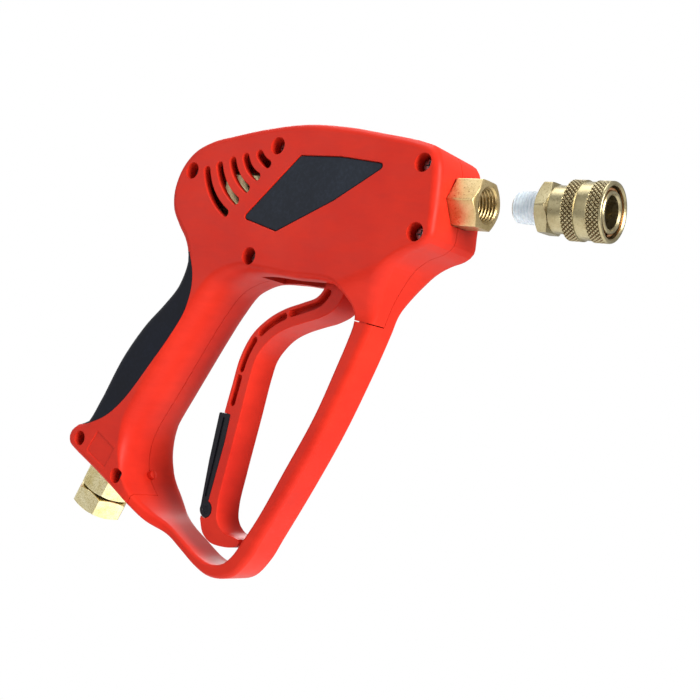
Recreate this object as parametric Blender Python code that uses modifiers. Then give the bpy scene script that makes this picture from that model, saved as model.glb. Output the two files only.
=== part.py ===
"""Trigger gun of a pressure washer, with a loose quick-connect coupler in front of its outlet.

+X points the way the jet leaves and +Z is up. Every length in this file is in millimetres from the
centre of the outlet's mouth; move_origin() then puts the origin in the middle of the hand grip.
"""

import math

import bmesh
import bpy
from mathutils import Matrix, Vector

# ---- driving dimensions -------------------------------------------------------------------------
HALF_WIDTH = 17.0  # from the mid plane to the casing's flat side
STRAP_HALF_WIDTH = 8.24  # the hand guard's
WALL = 3.0
GRIP_CENTRE = (-151.0, -80.0)
GAP = 0.3  # between pieces that touch
SPLIT_GAP = 0.15  # of each casing half from the mid plane
HEX_OUTLET = 18.0  # across flats
HEX_INLET = 22.2
HEX_COUPLER = 18.0
OUTLET_PHASE = math.radians(35.3)
INLET_PHASE = math.radians(48.0)
COUPLER_PHASE = math.radians(34.0)
TUBE_RADIUS = 4.5
STUD = ((-149.4, -131.8), (-146.0, -130.2))  # the round stud low on the handle's front, root to end
STUD_RADIUS = 2.0
SCREW_BORE = 3.7  # radius of the counterbores
HEEL_BORE = 3.4  # and of the two in the heel
BOSS_RADIUS = 5.2
SCREW_DEPTH = 7.4  # of the counterbore, from the flat side
TRIGGER_PIVOT = (-58.0, -9.6)
TRIGGER_HALF_WIDTH = 7.0
SLOT_HALF_WIDTH = 7.7
VALVE_Z = -19.0
VALVE_LOW_Z = -24.8  # underside of the valve body
LOCK_PIVOT = (-104.9, -137.3)
INLET_TILT = math.radians(22.0)  # of the hose fitting, from straight down towards the rear
INLET_START = (-170.7, -132.3)  # where its axis leaves the casing
INLET_PATH = ((-171.8, -135.1), (-165.2, -118.8), (-163.6, -115.2), (-161.4, -110.8), (-117.0, -22.0))
COUPLER_X = 12.9  # tip of the coupler's thread
BALL_COUNT = 4

INLET_DOWN = Vector((-math.sin(INLET_TILT), 0.0, -math.cos(INLET_TILT)))
FORWARD = Vector((1.0, 0.0, 0.0))
BACKWARD = Vector((-1.0, 0.0, 0.0))
SIDEWAYS = Vector((0.0, 1.0, 0.0))

# Casing outlines on the mid plane: x, z, how far the flat side lies inside them, and how much of
# the half width the rounding between the two takes.
OUTER_OUTLINE = [
    (-11.4, -10.0, 2.9, 3.2),
    (-12.9, 7.5, 3.6, 3.5),
    (-14.2, 13.0, 3.4, 3.5),
    (-17.0, 17.6, 3.5, 3.5),
    (-24.0, 20.0, 3.5, 3.5),
    (-42.0, 22.9, 3.5, 3.5),
    (-62.0, 25.5, 3.5, 3.5),
    (-82.0, 26.4, 3.5, 3.5),
    (-102.4, 24.5, 3.5, 3.5),
    (-122.5, 21.0, 3.5, 3.5),
    (-133.5, 18.6, 3.5, 3.5),
    (-143.5, 13.8, 3.5, 3.5),
    (-149.8, 5.8, 3.5, 3.5),
    (-152.1, -4.8, 3.5, 3.5),
    (-150.0, -13.4, 3.5, 3.5),
    (-145.0, -20.5, 4.0, 4.5),
    (-140.2, -27.5, 5.5, 8.0),
    (-138.8, -35.0, 8.0, 12.0),
    (-141.6, -44.4, 9.0, 13.0),
    (-147.8, -52.6, 9.0, 13.0),
    (-157.3, -63.2, 9.0, 13.0),
    (-167.9, -79.6, 9.0, 13.0),
    (-176.2, -98.9, 9.0, 13.0),
    (-181.6, -111.6, 7.5, 11.0),
    (-185.6, -115.2, 3.5, 4.5),
    (-188.3, -118.0, 3.0, 3.5),
    (-189.2, -121.4, 3.0, 3.0),
    (-187.8, -124.8, 3.0, 3.0),
    (-184.3, -126.7, 3.0, 3.0),
    (-165.0, -134.3, 3.0, 3.0),
    (-144.8, -143.0, 1.9, 2.9),
    (-133.5, -149.2, 1.4, 2.7),
    (-123.7, -152.2, 1.3, 2.7),
    (-113.4, -157.0, 1.3, 2.7),
    (-105.0, -161.0, 1.3, 2.7),
    (-97.0, -163.4, 1.6, 2.8),
    (-89.5, -163.0, 2.0, 3.2),
    (-82.3, -160.0, 2.6, 3.8),
    (-75.7, -151.8, 3.2, 4.2),
    (-71.3, -142.4, 3.4, 4.2),
    (-61.1, -120.1, 3.4, 4.2),
    (-50.6, -94.9, 3.4, 4.2),
    (-41.6, -68.1, 3.4, 4.2),
    (-36.5, -50.9, 3.9, 5.0),
    (-34.5, -42.6, 5.2, 6.0),
    (-30.9, -33.8, 5.0, 6.0),
    (-26.5, -26.7, 3.6, 4.5),
    (-20.8, -22.3, 2.4, 3.0),
    (-14.9, -19.7, 2.2, 2.8),
    (-11.5, -16.2, 2.4, 3.0),
]
HAND_HOLE = [
    (-58.0, -36.8, 2.5, 3.0),
    (-75.0, -36.9, 2.5, 3.0),
    (-92.0, -36.7, 3.5, 5.0),
    (-103.0, -38.5, 6.0, 11.0),
    (-114.0, -45.0, 8.0, 15.0),
    (-121.0, -55.0, 8.0, 15.0),
    (-127.0, -66.0, 8.0, 15.0),
    (-140.0, -92.0, 8.0, 15.0),
    (-148.8, -109.5, 7.0, 15.0),
    (-151.2, -118.0, 4.0, 10.0),
    (-150.3, -127.0, 1.9, 6.0),
    (-147.0, -133.5, 1.3, 4.0),
    (-141.0, -139.0, 1.3, 3.5),
    (-133.0, -144.0, 1.4, 3.5),
    (-123.0, -148.2, 1.3, 2.7),
    (-113.0, -152.8, 1.3, 2.7),
    (-103.0, -157.2, 1.3, 2.7),
    (-96.0, -158.4, 1.3, 2.7),
    (-90.0, -157.0, 1.3, 2.7),
    (-85.3, -152.8, 1.3, 2.7),
    (-80.7, -145.0, 1.3, 2.7),
    (-75.0, -134.0, 1.3, 2.7),
    (-66.5, -114.0, 1.3, 2.7),
    (-56.6, -90.0, 1.3, 2.7),
    (-50.5, -69.8, 1.3, 2.7),
    (-46.1, -53.0, 1.3, 2.7),
    (-45.4, -46.5, 1.6, 2.7),
    (-48.5, -41.0, 2.0, 2.8),
    (-53.0, -37.8, 2.5, 3.0),
]
# The casing narrows into the strap over LEG_TAPER along LEG_NORMAL at the front, and over
# HEEL_TAPER along X behind.
LEG_START = (-45.0, -33.0)
LEG_NORMAL = (0.5, -1.0)
LEG_TAPER = 20.0
LEG_REAR_X = -72.0
HEEL_TAPER = (-147.0, -120.0)
HEEL_TOP_Z = -118.0
TAPER_CUTS = 5
# What the right half keeps: everything above and behind these two seams.
SEAM_LEG = ((-60.0, -48.6), (-28.0, -51.2))
SEAM_HEEL = ((-143.6, -150.0), (-140.6, -134.0))

GRIP_EDGE = [
    (-133.8, -31.0),
    (-129.6, -39.0),
    (-128.2, -47.0),
    (-129.6, -56.0),
    (-135.0, -67.0),
    (-145.0, -83.0),
    (-156.5, -99.5),
    (-165.5, -108.0),
    (-175.0, -112.9),
    (-183.0, -114.9),
]
CORE_REAR = [
    (-135.5, -31.0),
    (-138.0, -45.0),
    (-144.6, -55.0),
    (-154.4, -66.0),
    (-164.6, -82.0),
    (-172.8, -100.5),
    (-178.0, -112.0),
]
HEAD_CAVITY = [
    (-16.5, -13.0),
    (-16.5, 7.0),
    (-24.5, 14.3),
    (-42.5, 19.5),
    (-62.0, 22.2),
    (-82.0, 23.1),
    (-102.0, 21.2),
    (-122.0, 17.7),
    (-132.5, 15.3),
    (-141.0, 10.9),
    (-146.6, 4.2),
    (-148.7, -4.8),
    (-146.8, -12.0),
    (-141.9, -19.0),
    (-137.4, -26.0),
    (-104.0, -33.2),
    (-47.0, -33.2),
    (-37.0, -30.0),
    (-27.0, -20.5),
]
HANDLE_CAVITY = [
    (-106.0, -30.0),
    (-119.0, -46.0),
    (-130.0, -68.0),
    (-143.0, -93.0),
    (-153.5, -114.0),
    (-170.0, -114.0),
    (-164.0, -93.0),
    (-147.5, -67.0),
    (-138.4, -50.0),
    (-133.4, -36.0),
    (-132.0, -24.0),
]
SCREWS = {
    "head_rear": (-141.5, 4.7),
    "head_top": (-94.4, 16.5),
    "head_lower": (-98.8, -30.2),
    "nose_upper": (-20.9, 11.3),
    "nose_lower": (-18.8, -15.0),
    "heel_rear": (-180.3, -121.1),
    "heel_front": (-152.2, -132.9),
}
# Each vent is an arc through a top, a middle and a bottom point.
VENTS = [
    ((-132.7, 5.2), (-127.3, -4.6), (-117.0, -12.9)),
    ((-125.7, 7.4), (-120.8, -0.8), (-112.3, -7.4)),
    ((-118.4, 9.6), (-114.4, 3.2), (-107.5, -2.0)),
    ((-111.3, 11.4), (-108.2, 6.8), (-102.9, 3.3)),
    ((-103.7, 12.8), (-101.4, 10.5), (-98.2, 8.7)),
]
VENT_HALF_WIDTH = 1.75
PLATE = [(-106.2, -14.4), (-81.2, 12.6), (-60.0, 12.5), (-37.2, 10.2), (-60.0, -4.8), (-87.0, -18.9)]
TRIGGER_FRONT = [
    (-53.8, -9.6),
    (-52.3, -24.0),
    (-52.8, -36.5),
    (-56.4, -46.0),
    (-63.0, -50.6),
    (-71.0, -53.6),
    (-78.5, -56.6),
    (-84.5, -60.0),
    (-89.3, -64.8),
    (-92.8, -70.6),
    (-94.2, -78.0),
    (-95.6, -95.0),
    (-97.8, -120.0),
    (-98.6, -134.0),
    (-97.2, -140.4),
    (-92.5, -144.4),
    (-87.0, -145.0),
    (-84.0, -145.4),
    (-83.2, -147.0),
    (-85.5, -148.9),
    (-92.0, -150.2),
    (-99.5, -149.9),
    (-104.2, -146.9),
    (-106.9, -141.8),
]
TRIGGER_REAR = [
    (-104.6, -94.8),
    (-103.4, -84.0),
    (-101.8, -71.6),
    (-97.6, -61.6),
    (-90.5, -54.2),
    (-82.5, -49.2),
    (-73.0, -45.4),
    (-66.8, -42.6),
    (-63.8, -38.0),
    (-63.2, -28.0),
    (-62.9, -16.0),
    (-62.2, -9.6),
]
LOCK_OUTLINE = [
    (-107.6, -96.2),
    (-101.0, -96.2),
    (-101.4, -108.0),
    (-104.0, -133.0),
    (-104.9, -137.3),
    (-108.1, -137.9),
    (-108.3, -117.0),
]

MATERIALS = {  # colour, roughness, metallic
    "red_nylon": ((0.62, 0.030, 0.026), 0.42, 0.0),
    "black_grip": ((0.016, 0.021, 0.030), 0.55, 0.0),
    "brass": ((0.70, 0.53, 0.24), 0.32, 1.0),
    "bright_brass": ((0.85, 0.74, 0.44), 0.25, 1.0),
    "steel": ((0.55, 0.56, 0.58), 0.30, 1.0),
    "dark_steel": ((0.10, 0.10, 0.11), 0.40, 1.0),
    "rubber": ((0.015, 0.015, 0.016), 0.70, 0.0),
    "sealant": ((0.78, 0.84, 0.89), 0.60, 0.0),
    "copper_ring": ((0.72, 0.36, 0.18), 0.30, 1.0),
}

MM = 0.001
SEGMENTS = 28  # round a turned piece
CURVE_STEP = 8.0  # between points of a casing outline
ROUNDING_STEPS = 3
# Long chains of cuts that the exact solver leaves with open edges.
MANY_CUTS = ("casing_right", "casing_left", "trigger", "trigger_lock", "coupler_body")


# ---- scene helpers ------------------------------------------------------------------------------
def mm(x, y, z):
    return Vector((x, y, z)) * MM


def clear_scene():
    for thing in list(bpy.data.objects):
        bpy.data.objects.remove(thing, do_unlink=True)


def new_collection(name, hidden=False):
    made = bpy.data.collections.new(name)
    made.hide_render = hidden
    bpy.context.scene.collection.children.link(made)
    return made


def material(name):
    found = bpy.data.materials.get(name)
    if found:
        return found
    colour, roughness, metallic = MATERIALS[name]
    made = bpy.data.materials.new(name)
    made.use_nodes = True
    shader = made.node_tree.nodes["Principled BSDF"]
    shader.inputs["Base Color"].default_value = (*colour, 1.0)
    shader.inputs["Roughness"].default_value = roughness
    shader.inputs["Metallic"].default_value = metallic
    made.diffuse_color = (*colour, 1.0)
    return made


def add_object(name, mesh, look=None):
    """A mesh object: a part when it has a look, otherwise a cutter."""
    thing = bpy.data.objects.new(name, mesh)
    if look:
        mesh.materials.append(material(look))
        PARTS.objects.link(thing)
    else:
        thing.hide_render = True
        thing.display_type = "WIRE"
        CUTTERS.objects.link(thing)
    return thing


def mesh_from(name, bm, smooth_angle=30.0):
    bmesh.ops.recalc_face_normals(bm, faces=bm.faces)
    if bm.calc_volume(signed=True) < 0.0:
        bmesh.ops.reverse_faces(bm, faces=bm.faces)
    mesh = bpy.data.meshes.new(name)
    bm.to_mesh(mesh)
    bm.free()
    mesh.shade_smooth()
    mesh.set_sharp_from_angle(angle=math.radians(smooth_angle))
    return mesh


def boolean(target, other, operation):
    modifier = target.modifiers.new(operation.lower(), "BOOLEAN")
    modifier.operation = operation
    modifier.object = other
    modifier.solver = "MANIFOLD" if target.name in MANY_CUTS else "EXACT"


def cut(target, *others):
    for other in others:
        boolean(target, other, "DIFFERENCE")


def join(target, *others):
    for other in others:
        boolean(target, other, "UNION")


def keep(target, other):
    boolean(target, other, "INTERSECT")


def bevel(thing, width, segments=2, angle=35.0):
    modifier = thing.modifiers.new("bevel", "BEVEL")
    modifier.width = width * MM
    modifier.segments = segments
    modifier.limit_method = "ANGLE"
    modifier.angle_limit = math.radians(angle)


def frame_to(origin, direction):
    """A matrix whose local Z runs along direction from origin."""
    turn = direction.to_track_quat("Z", "Y").to_matrix().to_4x4()
    return Matrix.Translation(mm(*origin)) @ turn


# ---- shape helpers ------------------------------------------------------------------------------
def smooth_curve(knots, step, closed=True):
    """Centripetal Catmull-Rom through the knots, with a point about every step millimetres."""
    count = len(knots)
    spans = count if closed else count - 1
    points = []
    for i in range(spans):
        if closed:
            p = [Vector(knots[(i + k) % count][:2]) for k in (-1, 0, 1, 2)]
        else:
            p = [Vector(knots[min(max(i + k, 0), count - 1)][:2]) for k in (-1, 0, 1, 2)]
            if i == 0:
                p[0] = 2 * p[1] - p[2]
            if i == spans - 1:
                p[3] = 2 * p[2] - p[1]
        extra_a = knots[i][2:]
        extra_b = knots[(i + 1) % count][2:]
        t = [0.0]
        for k in range(3):
            t.append(t[-1] + math.sqrt((p[k + 1] - p[k]).length))
        pieces = max(1, round((p[2] - p[1]).length / step))
        for j in range(pieces):
            share = j / pieces
            at = t[1] + (t[2] - t[1]) * share
            a = [p[k].lerp(p[k + 1], (at - t[k]) / (t[k + 1] - t[k])) for k in range(3)]
            b = [a[k].lerp(a[k + 1], (at - t[k]) / (t[k + 2] - t[k])) for k in range(2)]
            c = b[0].lerp(b[1], (at - t[1]) / (t[2] - t[1]))
            extras = [u + (v - u) * share for u, v in zip(extra_a, extra_b)]
            points.append((c.x, c.y, *extras))
    if not closed:
        points.append(tuple(knots[-1]))
    return points


def signed_area(points):
    total = 0.0
    for a, b in zip(points, points[1:] + points[:1]):
        total += a[0] * b[1] - b[0] * a[1]
    return total / 2


def rounded(corners, radius, steps=4):
    """A polygon's outline with its corners turned into arcs."""
    points = []
    count = len(corners)
    for i, corner in enumerate(corners):
        at = Vector(corner)
        before = (Vector(corners[i - 1]) - at).normalized()
        after = (Vector(corners[(i + 1) % count]) - at).normalized()
        half = math.acos(max(-1.0, min(1.0, before.dot(after)))) / 2
        back = radius / math.tan(half)
        centre = at + (before + after).normalized() * (radius / math.sin(half))
        start = at + before * back - centre
        end = at + after * back - centre
        turn = start.angle_signed(end)
        for k in range(steps + 1):
            spoke = start.copy()
            spoke.rotate(Matrix.Rotation(-turn * k / steps, 2))
            points.append(tuple(centre + spoke))
    return points


def grown(points, amount):
    """The outline moved outwards by amount, each point along its own normal."""
    facing = 1.0 if signed_area(points) > 0 else -1.0
    moved = []
    for i, point in enumerate(points):
        along = Vector(points[(i + 1) % len(points)]) - Vector(points[i - 1])
        normal = Vector((along.y, -along.x)).normalized() * facing
        moved.append(tuple(Vector(point) + normal * amount))
    return moved


def prism(name, outline, low_y, high_y, look=None):
    """An outline in the XZ plane, extruded from low_y to high_y."""
    curve = bpy.data.curves.new(name + "_outline", "CURVE")
    curve.dimensions = "2D"
    curve.fill_mode = "BOTH"
    curve.extrude = (high_y - low_y) / 2 * MM
    spline = curve.splines.new("POLY")
    spline.points.add(len(outline) - 1)
    for point, (x, z) in zip(spline.points, outline):
        point.co = (x * MM, z * MM, 0.0, 1.0)
    spline.use_cyclic_u = True
    flat = bpy.data.objects.new(name + "_outline", curve)
    bpy.context.scene.collection.objects.link(flat)
    graph = bpy.context.evaluated_depsgraph_get()
    mesh = bpy.data.meshes.new_from_object(flat.evaluated_get(graph))
    bpy.data.objects.remove(flat)
    upright = Matrix.Rotation(math.pi / 2, 4, "X")
    mesh.transform(Matrix.Translation(mm(0.0, (low_y + high_y) / 2, 0.0)) @ upright)
    bm = bmesh.new()
    bm.from_mesh(mesh)
    bmesh.ops.remove_doubles(bm, verts=bm.verts, dist=1e-6)
    bpy.data.meshes.remove(mesh)
    return add_object(name, mesh_from(name, bm), look)


def rod(name, radius, start, end, look=None, sides=SEGMENTS, phase=0.0):
    """A cylinder, or a hexagonal bar with six sides, between two points."""
    a = Vector(start)
    b = Vector(end)
    bm = bmesh.new()
    bmesh.ops.create_cone(
        bm,
        cap_ends=True,
        segments=sides,
        radius1=radius * MM,
        radius2=radius * MM,
        depth=(b - a).length * MM,
        matrix=Matrix.Rotation(phase, 4, "Z"),
    )
    bm.transform(frame_to((a + b) / 2, (b - a).normalized()))
    return add_object(name, mesh_from(name, bm), look)


def block(name, low, high, look=None):
    size = Vector(high) - Vector(low)
    middle = (Vector(high) + Vector(low)) / 2
    bm = bmesh.new()
    bmesh.ops.create_cube(bm, size=1.0)
    bm.transform(Matrix.Translation(mm(*middle)) @ Matrix.Diagonal((*(size * MM), 1.0)))
    return add_object(name, mesh_from(name, bm), look)


def turned(name, profile, origin, direction, look=None, steps=SEGMENTS):
    """A closed profile of (radius, distance along direction) swept round the axis."""
    points = profile if signed_area(profile) < 0 else profile[::-1]
    bm = bmesh.new()
    verts = [bm.verts.new((radius * MM, 0.0, along * MM)) for radius, along in points]
    on_axis = [radius < 1e-6 for radius, _ in points]
    for i, vert in enumerate(verts):
        after = (i + 1) % len(verts)
        if not (on_axis[i] and on_axis[after]):
            bm.edges.new((vert, verts[after]))
    mesh = bpy.data.meshes.new(name)
    bm.to_mesh(mesh)
    bm.free()
    thing = add_object(name, mesh, look)
    thing.matrix_world = frame_to(origin, direction)
    screw = thing.modifiers.new("turn", "SCREW")
    screw.axis = "Z"
    screw.steps = steps
    screw.render_steps = steps
    screw.use_merge_vertices = True
    screw.merge_threshold = 0.00001
    screw.use_smooth_shade = True
    return thing


def hexagon(name, across, low, high, chamfers, phase, origin, direction, look):
    """A hexagonal bar from low to high along direction, its ends chamfered where asked."""
    corner = across / 2 / math.cos(math.pi / 6)
    start = Vector(origin)
    bar = rod(name, corner, start + direction * low, start + direction * high, look, 6, phase)
    drop = (corner - across / 2 + 0.5) * 0.55
    flat = across / 2 - 0.4
    slope = drop / (corner + 0.2 - flat)
    if chamfers[0]:
        lens = [(0.0, low - 2.0 * slope), (flat - 2.0, low - 2.0 * slope), (corner + 0.2, low + drop)]
    else:
        lens = [(0.0, low - 1.0), (corner + 0.2, low - 1.0)]
    if chamfers[1]:
        lens += [(corner + 0.2, high - drop), (flat - 2.0, high + 2.0 * slope), (0.0, high + 2.0 * slope)]
    else:
        lens += [(corner + 0.2, high + 1.0), (0.0, high + 1.0)]
    keep(bar, turned(name + "_chamfer", lens, origin, direction, steps=36))
    return bar


def ring(name, inner, outer, low, high, origin, direction, look=None, steps=SEGMENTS):
    profile = [(inner, low), (outer, low), (outer, high), (inner, high)]
    return turned(name, profile, origin, direction, look, steps)


def round_ring(name, centre_radius, wire_radius, at, origin, direction, look, steps=20):
    """An O-ring, or any ring of round wire."""
    profile = []
    for k in range(8):
        angle = 2 * math.pi * k / 8
        profile.append((centre_radius + wire_radius * math.cos(angle), at + wire_radius * math.sin(angle)))
    return turned(name, profile, origin, direction, look, steps)


def pipe(name, path, radius, look=None):
    """A solid round bar along a path of points in the mid plane."""
    curve = bpy.data.curves.new(name, "CURVE")
    curve.dimensions = "3D"
    curve.bevel_depth = radius * MM
    curve.bevel_resolution = 4
    curve.use_fill_caps = True
    spline = curve.splines.new("POLY")
    spline.points.add(len(path) - 1)
    for point, (x, z) in zip(spline.points, path):
        point.co = (x * MM, 0.0, z * MM, 1.0)
    bent = bpy.data.objects.new(name + "_path", curve)
    bpy.context.scene.collection.objects.link(bent)
    graph = bpy.context.evaluated_depsgraph_get()
    mesh = bpy.data.meshes.new_from_object(bent.evaluated_get(graph))
    bpy.data.objects.remove(bent)
    bm = bmesh.new()
    bm.from_mesh(mesh)
    bmesh.ops.remove_doubles(bm, verts=bm.verts, dist=1e-6)
    bpy.data.meshes.remove(mesh)
    return add_object(name, mesh_from(name, bm), look)


def coil(name, radius, wire, turns, length, origin, direction, look):
    """A coil spring as one wire, with its axis along direction."""
    per_turn = 12
    curve = bpy.data.curves.new(name, "CURVE")
    curve.dimensions = "3D"
    curve.bevel_depth = wire / 2 * MM
    curve.bevel_resolution = 1
    curve.use_fill_caps = True
    curve.materials.append(material(look))
    spline = curve.splines.new("POLY")
    count = int(turns * per_turn) + 1
    spline.points.add(count - 1)
    for k, point in enumerate(spline.points):
        angle = 2 * math.pi * k / per_turn
        along = wire / 2 + (length - wire) * k / (count - 1)
        point.co = (radius * math.cos(angle) * MM, radius * math.sin(angle) * MM, along * MM, 1.0)
    thing = bpy.data.objects.new(name, curve)
    thing.matrix_world = frame_to(origin, direction)
    PARTS.objects.link(thing)
    return thing


def ball(name, radius, centre, look):
    bm = bmesh.new()
    bmesh.ops.create_uvsphere(bm, u_segments=12, v_segments=8, radius=radius * MM)
    bm.transform(Matrix.Translation(mm(*centre)))
    return add_object(name, mesh_from(name, bm), look)


# ---- casing -------------------------------------------------------------------------------------
def smoothstep(x):
    x = min(1.0, max(0.0, x))
    return x * x * (3.0 - 2.0 * x)


def half_width(x, z):
    """Half the casing's width: full at head and handle, narrowing into the hand guard's strap."""
    if z < HEEL_TOP_Z:
        share = smoothstep((x - HEEL_TAPER[0]) / (HEEL_TAPER[1] - HEEL_TAPER[0]))
    elif x > LEG_REAR_X:
        along = LEG_NORMAL[0] * (x - LEG_START[0]) + LEG_NORMAL[1] * (z - LEG_START[1])
        share = smoothstep(along / LEG_TAPER)
    else:
        share = 0.0
    return HALF_WIDTH + (STRAP_HALF_WIDTH - HALF_WIDTH) * share


def outline_rings(bm, knots, inwards):
    """The rounded rim of the casing round one outline; returns its two edge loops on the flat sides."""
    samples = smooth_curve(knots, CURVE_STEP)
    facing = 1.0 if signed_area(samples) > 0 else -1.0
    if inwards:
        facing = -facing
    rings = []
    for i, (x, z, inset, extent) in enumerate(samples):
        before = samples[i - 1]
        after = samples[(i + 1) % len(samples)]
        along = Vector((after[0] - before[0], after[1] - before[1])).normalized()
        outward = Vector((along.y, -along.x)) * facing
        ring_verts = []
        for side in (-1.0, 1.0):
            half = []
            for k in range(ROUNDING_STEPS + 1):
                angle = math.pi / 2 * k / ROUNDING_STEPS
                back = inset * (1.0 - math.sin(angle))
                y = side * (HALF_WIDTH - extent * (1.0 - math.cos(angle)))
                half.append(bm.verts.new(mm(x - outward.x * back, y, z - outward.y * back)))
            ring_verts.extend(half if side < 0 else half[::-1])
        rings.append(ring_verts)
    for a, b in zip(rings, rings[1:] + rings[:1]):
        for k in range(len(a) - 1):
            bm.faces.new((a[k], a[k + 1], b[k + 1], b[k]))
    loops = []
    for k in (0, -1):
        loops.append([bm.edges.get((a[k], b[k])) for a, b in zip(rings, rings[1:] + rings[:1])])
    return loops


def slice_mesh(bm, point, normal, wanted):
    """Cuts the wanted faces along a plane, so that the mesh can bend there."""
    touched = set()
    for face in bm.faces:
        low = Vector([min(v.co[k] for v in face.verts) for k in range(3)])
        high = Vector([max(v.co[k] for v in face.verts) for k in range(3)])
        if wanted(low, high):
            touched.update([face, *face.edges, *face.verts])
    bmesh.ops.bisect_plane(bm, geom=list(touched), plane_co=mm(*point), plane_no=normal, dist=1e-6)


def casing_block(name):
    """The whole casing with the hand guard and the hand hole, before it is hollowed and split."""
    bm = bmesh.new()
    outside = outline_rings(bm, OUTER_OUTLINE, inwards=False)
    inside = outline_rings(bm, HAND_HOLE, inwards=True)
    for k in (0, 1):
        edges = outside[k] + inside[k]
        bmesh.ops.triangle_fill(bm, edges=edges, use_beauty=True, normal=(0.0, 1.0, 0.0))
    normal = Vector((LEG_NORMAL[0], 0.0, LEG_NORMAL[1]))
    start = Vector((LEG_START[0], 0.0, LEG_START[1]))
    for k in range(TAPER_CUTS + 1):
        along = start + normal * (LEG_TAPER / normal.length_squared * k / TAPER_CUTS)
        slice_mesh(bm, along, normal, lambda low, high: high.x > LEG_REAR_X * MM)
    for k in range(TAPER_CUTS + 1):
        x = HEEL_TAPER[0] + (HEEL_TAPER[1] - HEEL_TAPER[0]) * k / TAPER_CUTS
        slice_mesh(bm, Vector((x, 0.0, 0.0)), FORWARD, lambda low, high: low.z < HEEL_TOP_Z * MM)
    for vert in bm.verts:
        vert.co.y *= half_width(vert.co.x / MM, vert.co.z / MM) / HALF_WIDTH
    bmesh.ops.remove_doubles(bm, verts=bm.verts, dist=1e-6)
    return add_object(name, mesh_from(name, bm))


def kept_right(shift):
    """Outline of what belongs to the right half; shift moves both seams towards the guard."""
    (leg_a, leg_b), (heel_a, heel_b) = SEAM_LEG, SEAM_HEEL
    return [
        (40.0, 60.0),
        (-230.0, 60.0),
        (-230.0, -175.0),
        (heel_a[0] - 4.0 + shift, -175.0),
        (heel_a[0] + shift, heel_a[1]),
        (heel_b[0] + shift, heel_b[1]),
        (-120.0, -100.0),
        (leg_a[0], leg_a[1] - shift),
        (leg_b[0], leg_b[1] - shift),
        (40.0, leg_b[1] - shift),
    ]


def arc_through(top, middle, bottom, count=7):
    """Points of the circular arc through three points."""
    a, b, c = Vector(top), Vector(middle), Vector(bottom)
    d = 2 * (a.x * (b.y - c.y) + b.x * (c.y - a.y) + c.x * (a.y - b.y))
    aa, bb, cc = a.length_squared, b.length_squared, c.length_squared
    ux = (aa * (b.y - c.y) + bb * (c.y - a.y) + cc * (a.y - b.y)) / d
    uy = (aa * (c.x - b.x) + bb * (a.x - c.x) + cc * (b.x - a.x)) / d
    centre = Vector((ux, uy))
    start = a - centre
    turn = start.angle_signed(c - centre)
    points = []
    for k in range(count):
        spoke = start.copy()
        spoke.rotate(Matrix.Rotation(-turn * k / (count - 1), 2))
        points.append(centre + spoke)
    return points


def slot_outline(path, half, cap_steps=4):
    """A slot of constant width with round ends along a path of points."""
    left = []
    right = []
    for i, point in enumerate(path):
        along = (path[min(i + 1, len(path) - 1)] - path[max(i - 1, 0)]).normalized()
        normal = Vector((-along.y, along.x))
        left.append(tuple(point + normal * half))
        right.append(tuple(point - normal * half))
    outline = list(left)
    for end, first in ((path[-1], left[-1]), (path[0], right[0])):
        if end is path[0]:
            outline.extend(right[::-1])
        spoke = Vector(first) - end
        for k in range(1, cap_steps):
            turned_spoke = spoke.copy()
            turned_spoke.rotate(Matrix.Rotation(-math.pi * k / cap_steps, 2))
            outline.append(tuple(end + turned_spoke))
    return outline


def cavity_cutters():
    """The hollows of the casing, with the screw bosses, pivot bosses and tube ribs left standing."""
    head = prism("cut_head", HEAD_CAVITY, WALL - HALF_WIDTH, HALF_WIDTH - WALL)
    for name, (x, z) in SCREWS.items():
        if name.startswith(("head", "nose")):
            cut(head, rod("boss_" + name, BOSS_RADIUS, (x, -20, z), (x, 20, z), sides=20))
    px, pz = TRIGGER_PIVOT
    for side in (-1, 1):
        near, far = sorted((side * 7.4, side * 20.0))
        cut(head, rod(f"boss_pivot_{side}", 4.4, (px, near, pz), (px, far, pz), sides=20))
    for k, x in enumerate((-34.0, -76.0)):
        rib = block(f"rib_{k}", (x - 1.2, -20, -40), (x + 1.2, 20, 40))
        cut(rib, rod(f"rib_hole_{k}", TUBE_RADIUS + GAP, (x - 5, 0, 0), (x + 5, 0, 0), sides=24))
        cut(rib, block(f"rib_relief_{k}", (x - 5, -9, -41), (x + 5, 9, -5.2)))
        cut(head, rib)
    handle = prism("cut_handle", HANDLE_CAVITY, -8.3, 8.3)
    return [head, handle]


def grip_cutters(extra):
    """The space of the rubber back grip: outside its front edge, round the casing's narrow core."""
    region = grown(smooth_curve(GRIP_EDGE, 5.0, closed=False) + [(-215.0, -118.0), (-215.0, -26.0)], extra)
    shell = prism(f"grip_region_{extra}", region, -30.0, 30.0)
    core_line = smooth_curve(CORE_REAR, 7.0, closed=False)
    core = grown(core_line + [(-172.0, -120.0), (-120.0, -80.0), (-115.0, -31.0)], -extra)
    cut(shell, prism(f"grip_core_{extra}", core, -10.5 + extra, 10.5 - extra))
    return shell


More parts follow.
